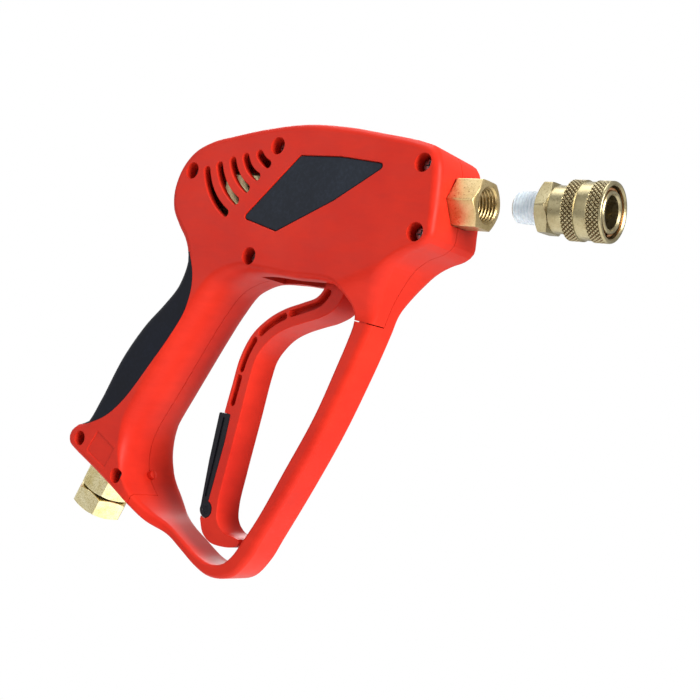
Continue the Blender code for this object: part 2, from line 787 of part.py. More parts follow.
def build_casing():
    whole = casing_block("casing_whole")
    right = casing_block("casing_right")
    left = casing_block("casing_left")
    for thing in (right, left):
        CUTTERS.objects.unlink(thing)
        PARTS.objects.link(thing)
        thing.hide_render = False
        thing.display_type = "TEXTURED"
        thing.data.materials.append(material("red_nylon"))
    (root_x, root_z), (end_x, end_z) = STUD
    stud = rod("stud", STUD_RADIUS, (root_x, 0, root_z), (end_x, 0, end_z), sides=20)
    join(right, stud)
    join(left, stud)
    keep(right, prism("right_region", kept_right(0.0), -40.0, -SPLIT_GAP))
    cut(left, prism("left_region", kept_right(GAP), -40.0, SPLIT_GAP))

    slot = block("trigger_slot", (-98.0, -SLOT_HALF_WIDTH, -45.0), (-50.0, SLOT_HALF_WIDTH, -30.0))
    nose = rod("nose_hole", 6.2, (-25, 0, 0), (-5, 0, 0), sides=28)
    corner = (HEX_OUTLET / 2 + GAP) / math.cos(math.pi / 6)
    seat = rod("nose_seat", corner, (-12.5, 0, 0), (-5, 0, 0), sides=6, phase=OUTLET_PHASE)
    base = Vector((INLET_START[0], 0.0, INLET_START[1]))
    tube = rod("inlet_hole", 6.9, base - INLET_DOWN * 26.0, base + INLET_DOWN * 12.0, sides=28)
    shared = [*cavity_cutters(), grip_cutters(0.0), slot, nose, seat, tube]
    px, pz = TRIGGER_PIVOT
    shared.append(rod("pivot_hole", 2.25, (px, -13.2, pz), (px, 13.2, pz), sides=20))
    for thing in (right, left):
        cut(thing, *shared)

    pocket = grown(rounded(PLATE, 1.2), GAP)
    for thing, side in ((right, -1.0), (left, 1.0)):
        low, high = sorted((side * 15.3, side * 25.0))
        cut(thing, prism(f"plate_pocket_{side:.0f}", pocket, low, high))
        for k, points in enumerate(VENTS):
            low, high = sorted((side * 10.0, side * 25.0))
            path = arc_through(*points)
            cut(thing, prism(f"vent_{k}_{side:.0f}", slot_outline(path, VENT_HALF_WIDTH), low, high))
    for name, (x, z) in SCREWS.items():
        wide = HEEL_BORE if name.startswith("heel") else SCREW_BORE
        bore = rod("counterbore_" + name, wide, (x, -25, z), (x, SCREW_DEPTH - HALF_WIDTH, z), sides=24)
        shank = rod("screw_hole_" + name, 1.75, (x, -12, z), (x, 12, z), sides=16)
        cut(right, bore, shank)
        cut(left, shank)

    grip = whole
    grip.name = "grip_backstrap"
    CUTTERS.objects.unlink(grip)
    PARTS.objects.link(grip)
    grip.hide_render = False
    grip.display_type = "TEXTURED"
    grip.data.materials.append(material("black_grip"))
    keep(grip, grip_cutters(-GAP))

    for side, name in ((-1.0, "side_plate_right"), (1.0, "side_plate_left")):
        low, high = sorted((side * 15.6, side * 16.6))
        prism(name, rounded(PLATE, 1.2), low, high, "black_grip")


def build_screws():
    for name, (x, z) in SCREWS.items():
        head = SCREW_DEPTH - HALF_WIDTH - GAP
        profile = [(0, 0), (1.4, 0), (1.4, 16.0), (3.1, 16.0), (3.1, 17.6), (2.4, 18.4), (0, 18.4)]
        tip = head + 16.0
        screw = turned("casing_screw_" + name, profile, (x, tip, z), -SIDEWAYS, "dark_steel", 16)
        recess = block("recess_" + name, (x - 1.7, head - 3.0, z - 0.35), (x + 1.7, head - 1.2, z + 0.35))
        across = block("across_" + name, (x - 0.35, head - 3.0, z - 1.7), (x + 0.35, head - 1.2, z + 1.7))
        join(recess, across)
        cut(screw, recess)


# ---- trigger ------------------------------------------------------------------------------------
def trigger_outline():
    return smooth_curve(TRIGGER_FRONT, 5.0, closed=False) + smooth_curve(TRIGGER_REAR, 5.0, closed=False)


def lock_cheek_space(extra):
    return grown(rounded(LOCK_OUTLINE, 0.6, 2), extra)


def build_trigger():
    px, pz = TRIGGER_PIVOT
    lx, lz = LOCK_PIVOT
    width = TRIGGER_HALF_WIDTH
    trigger = prism("trigger", trigger_outline(), -width, width, "red_nylon")
    bevel(trigger, 0.9, 2, 50.0)
    join(trigger, rod("trigger_hub", 4.2, (px, -width, pz), (px, width, pz), sides=28))
    cut(trigger, rod("trigger_bore", 2.25, (px, -9, pz), (px, 9, pz), sides=20))
    for side in (-1.0, 1.0):
        low, high = sorted((side * 4.2, side * 9.0))
        cut(trigger, prism(f"lock_rebate_{side:.0f}", lock_cheek_space(GAP), low, high))
        cut(trigger, rod(f"lock_sweep_{side:.0f}", 3.9, (lx, low, lz), (lx, high, lz), sides=28))
    web = [(-120.0, -95.9), (-105.3, -95.9), (-106.4, -117.0), (-106.9, -132.9), (-120.0, -132.9)]
    cut(trigger, prism("web_space", web, -9.0, 9.0))
    cut(trigger, rod("lock_bore", 1.6, (lx, -9, lz), (lx, 9, lz), sides=16))
    rod("trigger_pivot_pin", 2.0, (px, -13.0, pz), (px, 13.0, pz), "steel", 24)


def build_lock():
    lx, lz = LOCK_PIVOT
    width = TRIGGER_HALF_WIDTH
    lock = prism("trigger_lock", rounded(LOCK_OUTLINE, 0.6, 2), -width, width, "black_grip")
    join(lock, rod("lock_boss", 3.3, (lx, -width - 0.2, lz), (lx, width + 0.2, lz), sides=28))
    inner = [(-90.0, -90.0), (-105.6, -90.0), (-106.7, -117.0), (-107.2, -132.9)]
    inner += [(-115.0, -132.9), (-115.0, -150.0), (-90.0, -150.0)]
    cut(lock, prism("lock_channel", inner, -4.5, 4.5))
    cut(lock, rod("lock_pin_hole", 1.6, (lx, -9, lz), (lx, 9, lz), sides=16))
    rod("trigger_lock_pin", 1.3, (lx, -6.6, lz), (lx, 6.6, lz), "steel", 16)


# ---- valve and pipes ----------------------------------------------------------------------------
def build_valve():
    body = block("valve_body", (-129.0, -9.0, VALVE_LOW_Z), (-100.0, 9.0, 7.0), "brass")
    bevel(body, 1.5, 2)
    axis = (0.0, 0.0, VALVE_Z)
    chamber = rod("chamber", 5.0, (-135, 0, VALVE_Z), (-109.0, 0, VALVE_Z), sides=28)
    guide = rod("guide", 2.2, (-112, 0, VALVE_Z), (-90, 0, VALVE_Z), sides=20)
    gland = rod("gland_bore", 4.2, (-104.5, 0, VALVE_Z), (-90, 0, VALVE_Z), sides=24)
    port = rod("port", TUBE_RADIUS + 0.25, (-107.0, 0, 0), (-90, 0, 0), sides=28)
    riser = rod("riser", 1.8, (-107.0, 0, VALVE_Z), (-107.0, 0, 1.0), sides=16)
    link = rod("port_link", 3.0, (-109.0, 0, 0), (-100.0, 0, 0), sides=20)
    inlet = rod("inlet_port", 3.4, (-115.5, 0, VALVE_Z), (-121.5, 0, VALVE_Z - 12.0), sides=24)
    cut(body, chamber, guide, gland, port, riser, link, inlet)

    ring("valve_seat", 2.3, 4.7, -112.7, -109.4, axis, FORWARD, "steel")
    ball("valve_ball", 3.0, (-114.9, 0.0, VALVE_Z), "steel")
    coil("valve_spring", 2.7, 0.9, 4.0, 8.6, (-118.2, 0.0, VALVE_Z), BACKWARD, "steel")
    cap = [(0, -127.2), (4.7, -127.2), (4.7, -129.4), (6.0, -129.4), (6.0, -133.2), (5.4, -134.0)]
    cap.append((0, -134.0))
    turned("valve_rear_cap", cap, axis, FORWARD, "brass", 6)
    pin = [(0, -111.6), (1.9, -111.6), (1.9, -66.0), (1.7, -64.8), (1.1, -63.9), (0, -63.6)]
    turned("push_pin", pin, axis, FORWARD, "steel", 24)
    ring("push_pin_o_ring", 2.2, 3.9, -104.0, -102.3, axis, FORWARD, "rubber", 28)
    nut = [(2.2, -101.8), (3.9, -101.8), (3.9, -99.7), (5.4, -99.7), (5.4, -94.6), (4.6, -93.8), (2.2, -93.8)]
    turned("gland_nut", nut, axis, FORWARD, "brass", 6)


def build_outlet():
    centre = (0.0, 0.0, 0.0)
    ring("outlet_tube", 3.0, TUBE_RADIUS, -106.5, -15.5, centre, FORWARD, "steel")
    ends = (False, True)
    fitting = hexagon("outlet_fitting", HEX_OUTLET, -12.2, 0.0, ends, OUTLET_PHASE, centre, FORWARD, "brass")
    spigot = [(0, -19.5), (5.9, -19.5), (5.9, -6.0), (0, -6.0)]
    join(fitting, turned("outlet_spigot", spigot, centre, FORWARD))
    way = [(0, -25), (4.75, -25), (4.75, -13.4), (3, -13.4), (3, -11.6), (6.2, -10.5), (6.9, -0.4)]
    way += [(7.6, 1), (0, 1)]
    cut(fitting, turned("outlet_way", way, centre, FORWARD))


def build_inlet():
    base = (INLET_START[0], 0.0, INLET_START[1])
    tube = pipe("inlet_tube", INLET_PATH, 5.0, "steel")
    cut(tube, pipe("inlet_tube_bore", INLET_PATH, 3.4))
    cut(tube, block("tube_trim", (-145, -10, VALVE_LOW_Z - GAP), (-100, 10, 0)))
    place = ((True, True), INLET_PHASE, base, INLET_DOWN, "bright_brass")
    fitting = hexagon("inlet_hex_fitting", HEX_INLET, 0.4, 11.3, *place)
    core = [(0, -12), (6.5, -12), (6.5, 5), (6, 6), (6, 12.6), (4.7, 12.6), (4.7, 14.2), (6, 14.2)]
    core += [(6, 14.9), (5.2, 14.9), (5.2, 16.1), (6, 16.1), (6, 16.8), (0, 16.8)]
    join(fitting, turned("inlet_core", core, base, INLET_DOWN))
    way = [(0, -20), (5.3, -20), (5.3, 3.3), (3.4, 3.3), (3.4, 25), (0, 25)]
    cut(fitting, turned("inlet_way", way, base, INLET_DOWN))

    nut = hexagon("inlet_swivel_nut", HEX_INLET, 11.7, 21.0, *place)
    bore = [(0, 5), (6.3, 5), (6.3, 14.6), (6.9, 14.6), (6.9, 20.2), (7.4, 21.0), (9.9, 25), (0, 25)]
    cut(nut, turned("nut_bore", bore, base, INLET_DOWN))
    round_ring("swivel_o_ring", 5.5, 0.6, 13.4, base, INLET_DOWN, "rubber")
    ring("swivel_retaining_ring", 5.5, 6.6, 15.1, 15.9, base, INLET_DOWN, "steel")


# ---- coupler ------------------------------------------------------------------------------------
def build_coupler():
    tip = (COUPLER_X, 0.0, 0.0)
    place = ((True, True), COUPLER_PHASE, tip, FORWARD, "brass")
    body = hexagon("coupler_body", HEX_COUPLER, 10.9, 16.1, *place)
    core = [(0, 0), (4.9, 0), (5.2, 0.4), (5.6, 10.9), (6.4, 13), (8.6, 13.4), (8.6, 23.6), (7.6, 23.6)]
    core += [(7.6, 35.2), (7.0, 35.2), (7.0, 36.2), (7.6, 36.2), (7.6, 36.6), (7.2, 37.0), (0, 37.0)]
    join(body, turned("coupler_core", core, tip, FORWARD))
    way = [(0, -5), (3, -5), (3, 21.1), (4.2, 22.2), (5.2, 23.6), (5.9, 23.6), (5.9, 25.0), (6.9, 25.0)]
    way += [(6.9, 26.8), (5.9, 26.8), (5.9, 36.3), (6.9, 37.5), (6.9, 45), (0, 45)]
    cut(body, turned("coupler_way", way, tip, FORWARD))
    at = Vector((COUPLER_X + 30.0, 0.0, 0.0))
    for k in range(BALL_COUNT):
        angle = 2 * math.pi * (k + 0.5) / BALL_COUNT
        out = Vector((0.0, math.cos(angle), math.sin(angle)))
        cut(body, rod(f"ball_hole_{k}", 1.65, at + out * 3.0, at + out * 12.0, sides=16))
        ball(f"coupler_ball_{k + 1}", 1.4, at + out * 7.15, "steel")

    sealant = [(5.5, 0.6), (5.9, 1.4), (6.5, 10.5), (5.9, 10.5)]
    turned("thread_sealant", sealant, tip, FORWARD, "sealant")
    outside = [(10.4, 22.2), (10.85, 22.7), (10.85, 26.4), (10.35, 27.0), (10.35, 31.8), (10.85, 32.4)]
    outside += [(10.85, 36.2), (10.35, 37.2), (10.05, 37.5)]
    inside = [(9.4, 37.5), (9.4, 31.2), (8.9, 30.9), (8.9, 28.3), (8.0, 28.3), (8.0, 27.8), (9.4, 27.8)]
    inside += [(9.4, 24.0), (8.9, 23.6), (8.9, 22.2)]
    turned("coupler_sleeve", outside + inside, tip, FORWARD, "brass")
    coil("coupler_spring", 8.5, 0.6, 1.7, 3.5, (COUPLER_X + 24.0, 0.0, 0.0), FORWARD, "steel")
    ring("coupler_retaining_ring", 7.35, 8.65, 35.4, 36.0, tip, FORWARD, "copper_ring")
    round_ring("coupler_o_ring", 5.9, 0.7, 25.9, tip, FORWARD, "rubber")


def move_origin():
    shift = Matrix.Translation(mm(-GRIP_CENTRE[0], 0.0, -GRIP_CENTRE[1]))
    for thing in (*PARTS.objects, *CUTTERS.objects):
        thing.matrix_world = shift @ thing.matrix_world


clear_scene()
PARTS = new_collection("pressure_washer_gun")
CUTTERS = new_collection("cutters", hidden=True)
build_casing()
build_screws()
build_trigger()
build_lock()
build_valve()
build_outlet()
build_inlet()
build_coupler()
move_origin()
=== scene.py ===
"""Looks of a pressure washer's trigger gun and its loose quick-connect coupler.

The lengths in this file are in millimetres from the centre of the outlet's mouth, as in the CAD
source; place() turns such a point into a point of the row frame, in metres.
"""

import math

import bmesh
import bpy
from mathutils import Matrix, Vector, noise


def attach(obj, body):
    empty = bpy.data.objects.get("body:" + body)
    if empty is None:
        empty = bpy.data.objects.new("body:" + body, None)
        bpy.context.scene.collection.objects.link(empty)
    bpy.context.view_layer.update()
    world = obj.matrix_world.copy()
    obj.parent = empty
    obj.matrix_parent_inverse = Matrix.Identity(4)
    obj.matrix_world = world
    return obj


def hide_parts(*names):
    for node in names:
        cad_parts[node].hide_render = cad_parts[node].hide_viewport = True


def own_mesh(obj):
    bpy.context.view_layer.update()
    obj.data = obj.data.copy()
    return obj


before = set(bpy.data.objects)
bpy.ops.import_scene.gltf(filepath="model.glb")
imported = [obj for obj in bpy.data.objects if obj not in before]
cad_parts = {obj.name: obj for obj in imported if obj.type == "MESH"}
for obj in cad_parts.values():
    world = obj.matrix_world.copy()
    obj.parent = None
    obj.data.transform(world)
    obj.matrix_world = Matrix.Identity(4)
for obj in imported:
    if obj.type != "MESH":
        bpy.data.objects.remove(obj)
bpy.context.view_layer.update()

MM = 0.001
SHIFT = (151.0, 0.0, 80.0)
HALF_WIDTH = 17.0
STRAP_HALF_WIDTH = 8.24
WALL = 3.0
GAP = 0.3
SPLIT_GAP = 0.13
SEAM_GAP = 0.42
GRIP_GAP = 0.12
CORE_HALF_WIDTH = 10.5
BOSS_RADIUS = 5.2
RIB_HALF_WIDTH = 1.2
CROSS_LENGTH = 3.5
CROSS_WIDTH = 0.72
RECESS_HALF_WIDTH = 1.5
PLATE_EDGE = 16.35
PIPE_PITCH = 1.41
HEX_OUTLET = 18.0
HEX_INLET = 22.2
HEX_COUPLER = 18.0
OUTLET_PHASE = math.radians(32.0)
INLET_PHASE = math.radians(48.0)
COUPLER_PHASE = math.radians(34.0)
SCREW_BORE = 3.7
HEEL_BORE = 3.4
SCREW_DEPTH = 7.4
TRIGGER_PIVOT = (-58.0, -9.6)
TRIGGER_HALF_WIDTH = 7.0
SLOT_HALF_WIDTH = 7.7
LOCK_PIVOT = (-104.9, -137.3)
INLET_TILT = math.radians(22.0)
INLET_START = (-170.7, -132.3)
COUPLER_X = 12.9
VALVE_Z = -19.0
STUD = ((-149.4, -131.8), (-146.0, -130.2))

INLET_DOWN = Vector((-math.sin(INLET_TILT), 0.0, -math.cos(INLET_TILT)))
FORWARD = Vector((1.0, 0.0, 0.0))
SIDEWAYS = Vector((0.0, 1.0, 0.0))

# Casing outlines on the mid plane: x, z, inset of the flat side, width of the rounding.
OUTER_OUTLINE = [
    (-11.4, -10, 2.9, 3.2), (-12.9, 7.5, 3.6, 3.5), (-14.2, 13, 3.4, 3.5), (-17, 17.6, 3.5, 3.5),
    (-24, 20, 3.5, 3.5), (-42, 22.9, 3.5, 3.5), (-62, 25.5, 3.5, 3.5), (-82, 26.4, 3.5, 3.5),
    (-102.4, 24.5, 3.5, 3.5), (-122.5, 21, 3.5, 3.5), (-133.5, 18.6, 3.5, 3.5),
    (-143.5, 13.8, 3.5, 3.5), (-149.8, 5.8, 3.5, 3.5), (-152.1, -4.8, 3.5, 3.5),
    (-150, -13.4, 3.5, 3.5), (-145, -20.5, 4, 4.5), (-140.2, -27.5, 5.5, 8), (-138.8, -35, 8, 12),
    (-141.6, -44.4, 9, 13), (-147.8, -52.6, 9, 13), (-157.3, -63.2, 9, 13), (-167.9, -79.6, 9, 13),
    (-176.2, -98.9, 9, 13), (-181.6, -111.6, 7.5, 11), (-185.6, -115.2, 3.5, 4.5),
    (-188.3, -118, 3, 3.5), (-189.2, -121.4, 3, 3), (-187.8, -124.8, 3, 3), (-184.3, -126.7, 3, 3),
    (-165, -134.3, 3, 3), (-144.8, -143, 1.9, 2.9), (-133.5, -149.2, 1.4, 2.7),
    (-123.7, -152.2, 1.3, 2.7), (-113.4, -157, 1.3, 2.7), (-105, -161, 1.3, 2.7),
    (-97, -163.4, 1.6, 2.8), (-89.5, -163, 2, 3.2), (-82.3, -160, 2.6, 3.8), (-75.7, -151.8, 3.2, 4.2),
    (-71.3, -142.4, 3.4, 4.2), (-61.1, -120.1, 3.4, 4.2), (-50.6, -94.9, 3.4, 4.2),
    (-41.6, -68.1, 3.4, 4.2), (-36.5, -50.9, 3.9, 5), (-34.5, -42.6, 5.2, 6), (-30.9, -33.8, 5, 6),
    (-26.5, -26.7, 3.6, 4.5), (-20.8, -22.3, 2.4, 3), (-14.9, -19.7, 2.2, 2.8), (-11.5, -16.2, 2.4, 3),
]
HAND_HOLE = [
    (-58, -36.8, 2.5, 3), (-75, -36.9, 2.5, 3), (-92, -36.7, 3.5, 5), (-103, -38.5, 6, 11),
    (-114, -45, 8, 15), (-121, -55, 8, 15), (-127, -66, 8, 15), (-140, -92, 8, 15),
    (-148.8, -109.5, 7, 15), (-151.2, -118, 4, 10), (-150.3, -127, 1.9, 6), (-147, -133.5, 1.3, 4),
    (-141, -139, 1.3, 3.5), (-133, -144, 1.4, 3.5), (-123, -148.2, 1.3, 2.7), (-113, -152.8, 1.3, 2.7),
    (-103, -157.2, 1.3, 2.7), (-96, -158.4, 1.3, 2.7), (-90, -157, 1.3, 2.7), (-85.3, -152.8, 1.3, 2.7),
    (-80.7, -145, 1.3, 2.7), (-75, -134, 1.3, 2.7), (-66.5, -114, 1.3, 2.7), (-56.6, -90, 1.3, 2.7),
    (-50.5, -69.8, 1.3, 2.7), (-46.1, -53, 1.3, 2.7), (-45.4, -46.5, 1.6, 2.7), (-48.5, -41, 2, 2.8),
    (-53, -37.8, 2.5, 3),
]
LEG_START = (-45, -33)
LEG_NORMAL = (0.5, -1)
LEG_TAPER = 20.0
LEG_REAR_X = -72.0
HEEL_TAPER = (-147, -120)
HEEL_TOP_Z = -118.0
SEAM_LEG = ((-60, -48.6), (-28, -51.2))
SEAM_HEEL = ((-143.6, -150), (-140.6, -134))
HEEL_KEY = ((-187, -122.5), (-175, -119.5))
GRIP_EDGE = [
    (-133.8, -31), (-129.6, -39), (-128.2, -47), (-129.6, -56), (-135, -67), (-145, -83),
    (-156.5, -99.5), (-165.5, -108), (-175, -112.9), (-183, -114.9),
]
CORE_REAR = [
    (-135.5, -31), (-138, -45), (-144.6, -55), (-154.4, -66), (-164.6, -82), (-172.8, -100.5),
    (-178, -112),
]
RIBS = {-34.0: 19.6, -76.0: 24.4}  # x of each rib, and the height that its key reaches in the top wall
HEAD_CAVITY = [
    (-16.5, -13), (-16.5, 7), (-24.5, 14.3), (-42.5, 19.5), (-62, 22.2), (-82, 23.1), (-102, 21.2),
    (-122, 17.7), (-132.5, 15.3), (-141, 10.9), (-146.6, 4.2), (-148.7, -4.8), (-146.8, -12),
    (-141.9, -19), (-137.4, -26), (-104, -33.2), (-47, -33.2), (-37, -30), (-27, -20.5),
]
SCREWS = {
    "head_rear": (-141.5, 4.7), "head_top": (-94.4, 16.5), "head_lower": (-98.8, -30.2),
    "nose_upper": (-20.9, 11.3), "nose_lower": (-18.8, -15),
    "heel_rear": (-180.3, -121.1), "heel_front": (-152.2, -132.9),
}
VENTS = [
    ((-132.7, 5.2), (-127.3, -4.6), (-117, -12.9)),
    ((-125.7, 7.4), (-120.8, -0.8), (-112.3, -7.4)),
    ((-118.4, 9.6), (-114.4, 3.2), (-107.5, -2)),
    ((-111.3, 11.4), (-108.2, 6.8), (-102.9, 3.3)),
    ((-103.7, 12.8), (-101.4, 10.5), (-98.2, 8.7)),
]
VENT_HALF_WIDTH = 1.75
PLATE = [(-106.2, -14.4), (-81.2, 12.6), (-60, 12.5), (-37.2, 10.2), (-60, -4.8), (-87, -18.9)]
LOBE_PANEL = [(-169.2, -116), (-156.4, -121.7), (-160.5, -130.9), (-174.2, -125.6)]
TRIGGER_FRONT = [
    (-53.8, -9.6), (-52.3, -24), (-52.8, -36.5), (-56.4, -46), (-63, -50.6), (-71, -53.6),
    (-78.5, -56.6), (-84.5, -60), (-89.3, -64.8), (-92.8, -70.6), (-94.2, -78), (-95.6, -95),
    (-97.8, -120), (-98.6, -134), (-97.2, -140.4), (-92.5, -144.4), (-87, -145), (-84, -145.4),
    (-83.2, -147), (-85.5, -148.9), (-92, -150.2), (-99.5, -149.9), (-104.2, -146.9), (-106.9, -141.8),
]
TRIGGER_REAR = [
    (-104.6, -94.8), (-103.4, -84), (-101.8, -71.6), (-97.6, -61.6), (-90.5, -54.2), (-82.5, -49.2),
    (-73, -45.4), (-66.8, -42.6), (-63.8, -38), (-63.2, -28), (-62.9, -16), (-62.2, -9.6),
]
# Where each recess in the trigger's side starts and ends along its rear edge.
TRIGGER_RECESSES = [
    ((-63.1, -39.4), (-79.2, -48)), ((-83.2, -49.8), (-94.6, -58.2)),
    ((-97.8, -62.2), (-102.4, -75.9)), ((-102.8, -79.9), (-104.2, -90.9)),
]
LOCK_OUTLINE = [
    (-107.6, -96.2), (-101, -96.2), (-101.4, -108), (-104, -133), (-104.9, -137.3), (-108.1, -137.9),
    (-108.3, -117),
]
OUTLINE_STEP = 2.2
ROUNDING_STEPS = 8
TAPER_CUTS = 16
SPENT = {}  # the tools of the boolean steps, by name, removed at the end


# ---- scene helpers ----
def place(x, y, z):
    """A point given from the outlet's mouth, in the row frame and in metres."""
    return Vector((x + SHIFT[0], y + SHIFT[1], z + SHIFT[2])) * MM


def shaded(mesh, smooth_angle):
    mesh.shade_smooth()
    mesh.set_sharp_from_angle(angle=math.radians(smooth_angle))


def from_bmesh(name, bm, smooth_angle=30.0):
    bmesh.ops.recalc_face_normals(bm, faces=bm.faces)
    if bm.calc_volume(signed=True) < 0.0:
        bmesh.ops.reverse_faces(bm, faces=bm.faces)
    mesh = bpy.data.meshes.new(name)
    bm.to_mesh(mesh)
    bm.free()
    shaded(mesh, smooth_angle)
    thing = bpy.data.objects.new(name, mesh)
    bpy.context.scene.collection.objects.link(thing)
    return thing


def baked(thing, smooth_angle=30.0):
    """Applies a thing's modifiers to its mesh."""
    evaluated = thing.evaluated_get(bpy.context.evaluated_depsgraph_get())
    mesh = bpy.data.meshes.new_from_object(evaluated)
    mesh.name = thing.name
    thing.modifiers.clear()
    thing.data = mesh
    shaded(mesh, smooth_angle)
    return thing


def carved(thing, steps, smooth_angle=30.0):
    """Applies (operation, other) steps in turn: cut, join or keep. The others are then SPENT."""
    names = {"cut": "DIFFERENCE", "join": "UNION", "keep": "INTERSECT"}
    for step, other in steps:
        modifier = thing.modifiers.new(step, "BOOLEAN")
        modifier.operation = names[step]
        modifier.object = other
        modifier.solver = "MANIFOLD"
        SPENT[other.name] = other
    return baked(thing, smooth_angle)


def cuts(*things):
    return [("cut", thing) for thing in things]


def softened(thing, width, segments=3, angle=35.0, weighted=False):
    modifier = thing.modifiers.new("bevel", "BEVEL")
    modifier.width = width * MM
    modifier.segments = segments
    modifier.limit_method = "WEIGHT" if weighted else "ANGLE"
    modifier.angle_limit = math.radians(angle)
    return baked(thing)


def finished(thing, look, body, slot, *nodes):
    """Gives a piece its material and its body, and hides the CAD nodes that it stands for."""
    thing.data.materials.clear()
    thing.data.materials.append(look)
    even = thing.modifiers.new("even_normals", "WEIGHTED_NORMAL")
    even.keep_sharp = True
    even.weight = 60
    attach(thing, body)
    if nodes:
        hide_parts(*nodes)
    return thing


def frame_to(origin, direction):
    turn = direction.to_track_quat("Z", "Y").to_matrix().to_4x4()
    return Matrix.Translation(place(*origin)) @ turn


# ---- shape helpers ----
def smooth_curve(knots, step, closed=True):
    """Centripetal Catmull-Rom through the knots, with a point about every step millimetres."""
    count = len(knots)
    spans = count if closed else count - 1
    points = []
    for i in range(spans):
        p = [Vector(knots[(i + k) % count][:2]) for k in (-1, 0, 1, 2)]
        if not closed and i == 0:
            p[0] = 2 * p[1] - p[2]
        if not closed and i == spans - 1:
            p[3] = 2 * p[2] - p[1]
        extras = list(zip(knots[i][2:], knots[(i + 1) % count][2:]))
        t = [0.0]
        for k in range(3):
            t.append(t[-1] + math.sqrt((p[k + 1] - p[k]).length))
        pieces = max(1, round((p[2] - p[1]).length / step))
        for j in range(pieces):
            share = j / pieces
            at = t[1] + (t[2] - t[1]) * share
            a = [p[k].lerp(p[k + 1], (at - t[k]) / (t[k + 1] - t[k])) for k in range(3)]
            b = [a[k].lerp(a[k + 1], (at - t[k]) / (t[k + 2] - t[k])) for k in range(2)]
            c = b[0].lerp(b[1], (at - t[1]) / (t[2] - t[1]))
            points.append((c.x, c.y, *[u + (v - u) * share for u, v in extras]))
    if not closed:
        points.append(tuple(knots[-1]))
    return points


def signed_area(points):
    return sum(a[0] * b[1] - b[0] * a[1] for a, b in zip(points, points[1:] + points[:1])) / 2


def rounded(corners, radius, steps=6):
    """A polygon with its corners rounded."""
    points = []
    count = len(corners)
    for i, corner in enumerate(corners):
        at = Vector(corner)
        before = (Vector(corners[i - 1]) - at).normalized()
        after = (Vector(corners[(i + 1) % count]) - at).normalized()
        half = math.acos(max(-1.0, min(1.0, before.dot(after)))) / 2
        back = radius / math.tan(half)
        centre = at + (before + after).normalized() * (radius / math.sin(half))
        start = at + before * back - centre
        turn = start.angle_signed(at + after * back - centre)
        points.extend(tuple(point) for point in swept(centre, start, turn, steps))
    return points


def grown(points, amount):
    """An outline moved outwards by an amount."""
    facing = 1.0 if signed_area(points) > 0 else -1.0
    moved = []
    for i, point in enumerate(points):
        along = Vector(points[(i + 1) % len(points)]) - Vector(points[i - 1])
        normal = Vector((along.y, -along.x)).normalized() * facing
        moved.append(tuple(Vector(point) + normal * amount))
    return moved


def stacked(name, layers):
    """A solid through outlines of equal length, each (outline, y), with flat ends."""
    bm = bmesh.new()
    rings = [[bm.verts.new(place(x, y, z)) for x, z in outline] for outline, y in layers]
    for a, b in zip(rings, rings[1:]):
        for i in range(len(a)):
            after = (i + 1) % len(a)
            bm.faces.new((a[i], a[after], b[after], b[i]))
    for end in (rings[0], rings[-1]):
        bm.faces.new(end)
    return from_bmesh(name, bm)


def quarter_round(radius):
    """(back, up) pairs along a quarter circle, from just after its foot to its top."""
    angles = [math.pi / 2 * k / 3 for k in (1, 2, 3)]
    return [(radius * (1 - math.cos(angle)), radius * math.sin(angle)) for angle in angles]


def oval(radius, along, out, up, count):
    """The section of a round ring, for revolved()."""
    angles = [2 * math.pi * k / count for k in range(count)]
    return [(radius + out * math.cos(angle), along + up * math.sin(angle)) for angle in angles]


def slab(name, outline, low_y, high_y):
    return stacked(name, [(outline, low_y), (outline, high_y)])


def rod(name, radius, start, end, sides=48, phase=0.0):
    a, b = Vector(start), Vector(end)
    bm = bmesh.new()
    wide, long = radius * MM, (b - a).length * MM
    turned = Matrix.Rotation(phase, 4, "Z")
    bmesh.ops.create_cone(
        bm, cap_ends=True, segments=sides, radius1=wide, radius2=wide, depth=long, matrix=turned
    )
    bm.transform(frame_to((a + b) / 2, (b - a).normalized()))
    return from_bmesh(name, bm)


def block(name, low, high):
    size = Vector(high) - Vector(low)
    middle = (Vector(high) + Vector(low)) / 2
    bm = bmesh.new()
    bmesh.ops.create_cube(bm, size=1.0)
    bm.transform(Matrix.Translation(place(*middle)) @ Matrix.Diagonal((*(size * MM), 1.0)))
    return from_bmesh(name, bm)


def revolved(name, profile, origin, direction, steps=72, radius_at=None, smooth_angle=30.0):
    """A closed profile of (radius, distance) turned round an axis; radius_at may shift each point and give
    it painted shade.
    """
    bm = bmesh.new()
    # The groove layer holds painted shade, by which the brass and sealant looks darken.
    layer = bm.verts.layers.float.new("groove")
    whole = frame_to(origin, direction)
    rings = []
    for radius, along in profile:
        if radius < 1e-6:
            rings.append([bm.verts.new(whole @ Vector((0.0, 0.0, along * MM)))])
            continue
        ring = []
        for k in range(steps):
            angle = 2 * math.pi * k / steps
            here, dark = radius_at(radius, along, angle) if radius_at else (radius, 0.0)
            point = Vector((here * math.cos(angle) * MM, here * math.sin(angle) * MM, along * MM))
            vert = bm.verts.new(whole @ point)
            vert[layer] = dark
            ring.append(vert)
        rings.append(ring)
    for a, b in zip(rings, rings[1:] + rings[:1]):
        if len(a) == 1 and len(b) == 1:
            continue
        for k in range(steps):
            after = (k + 1) % steps
            if len(a) == 1:
                bm.faces.new((a[0], b[after], b[k]))
            elif len(b) == 1:
                bm.faces.new((a[k], a[after], b[0]))
            else:
                bm.faces.new((a[k], a[after], b[after], b[k]))
    return from_bmesh(name, bm, smooth_angle)


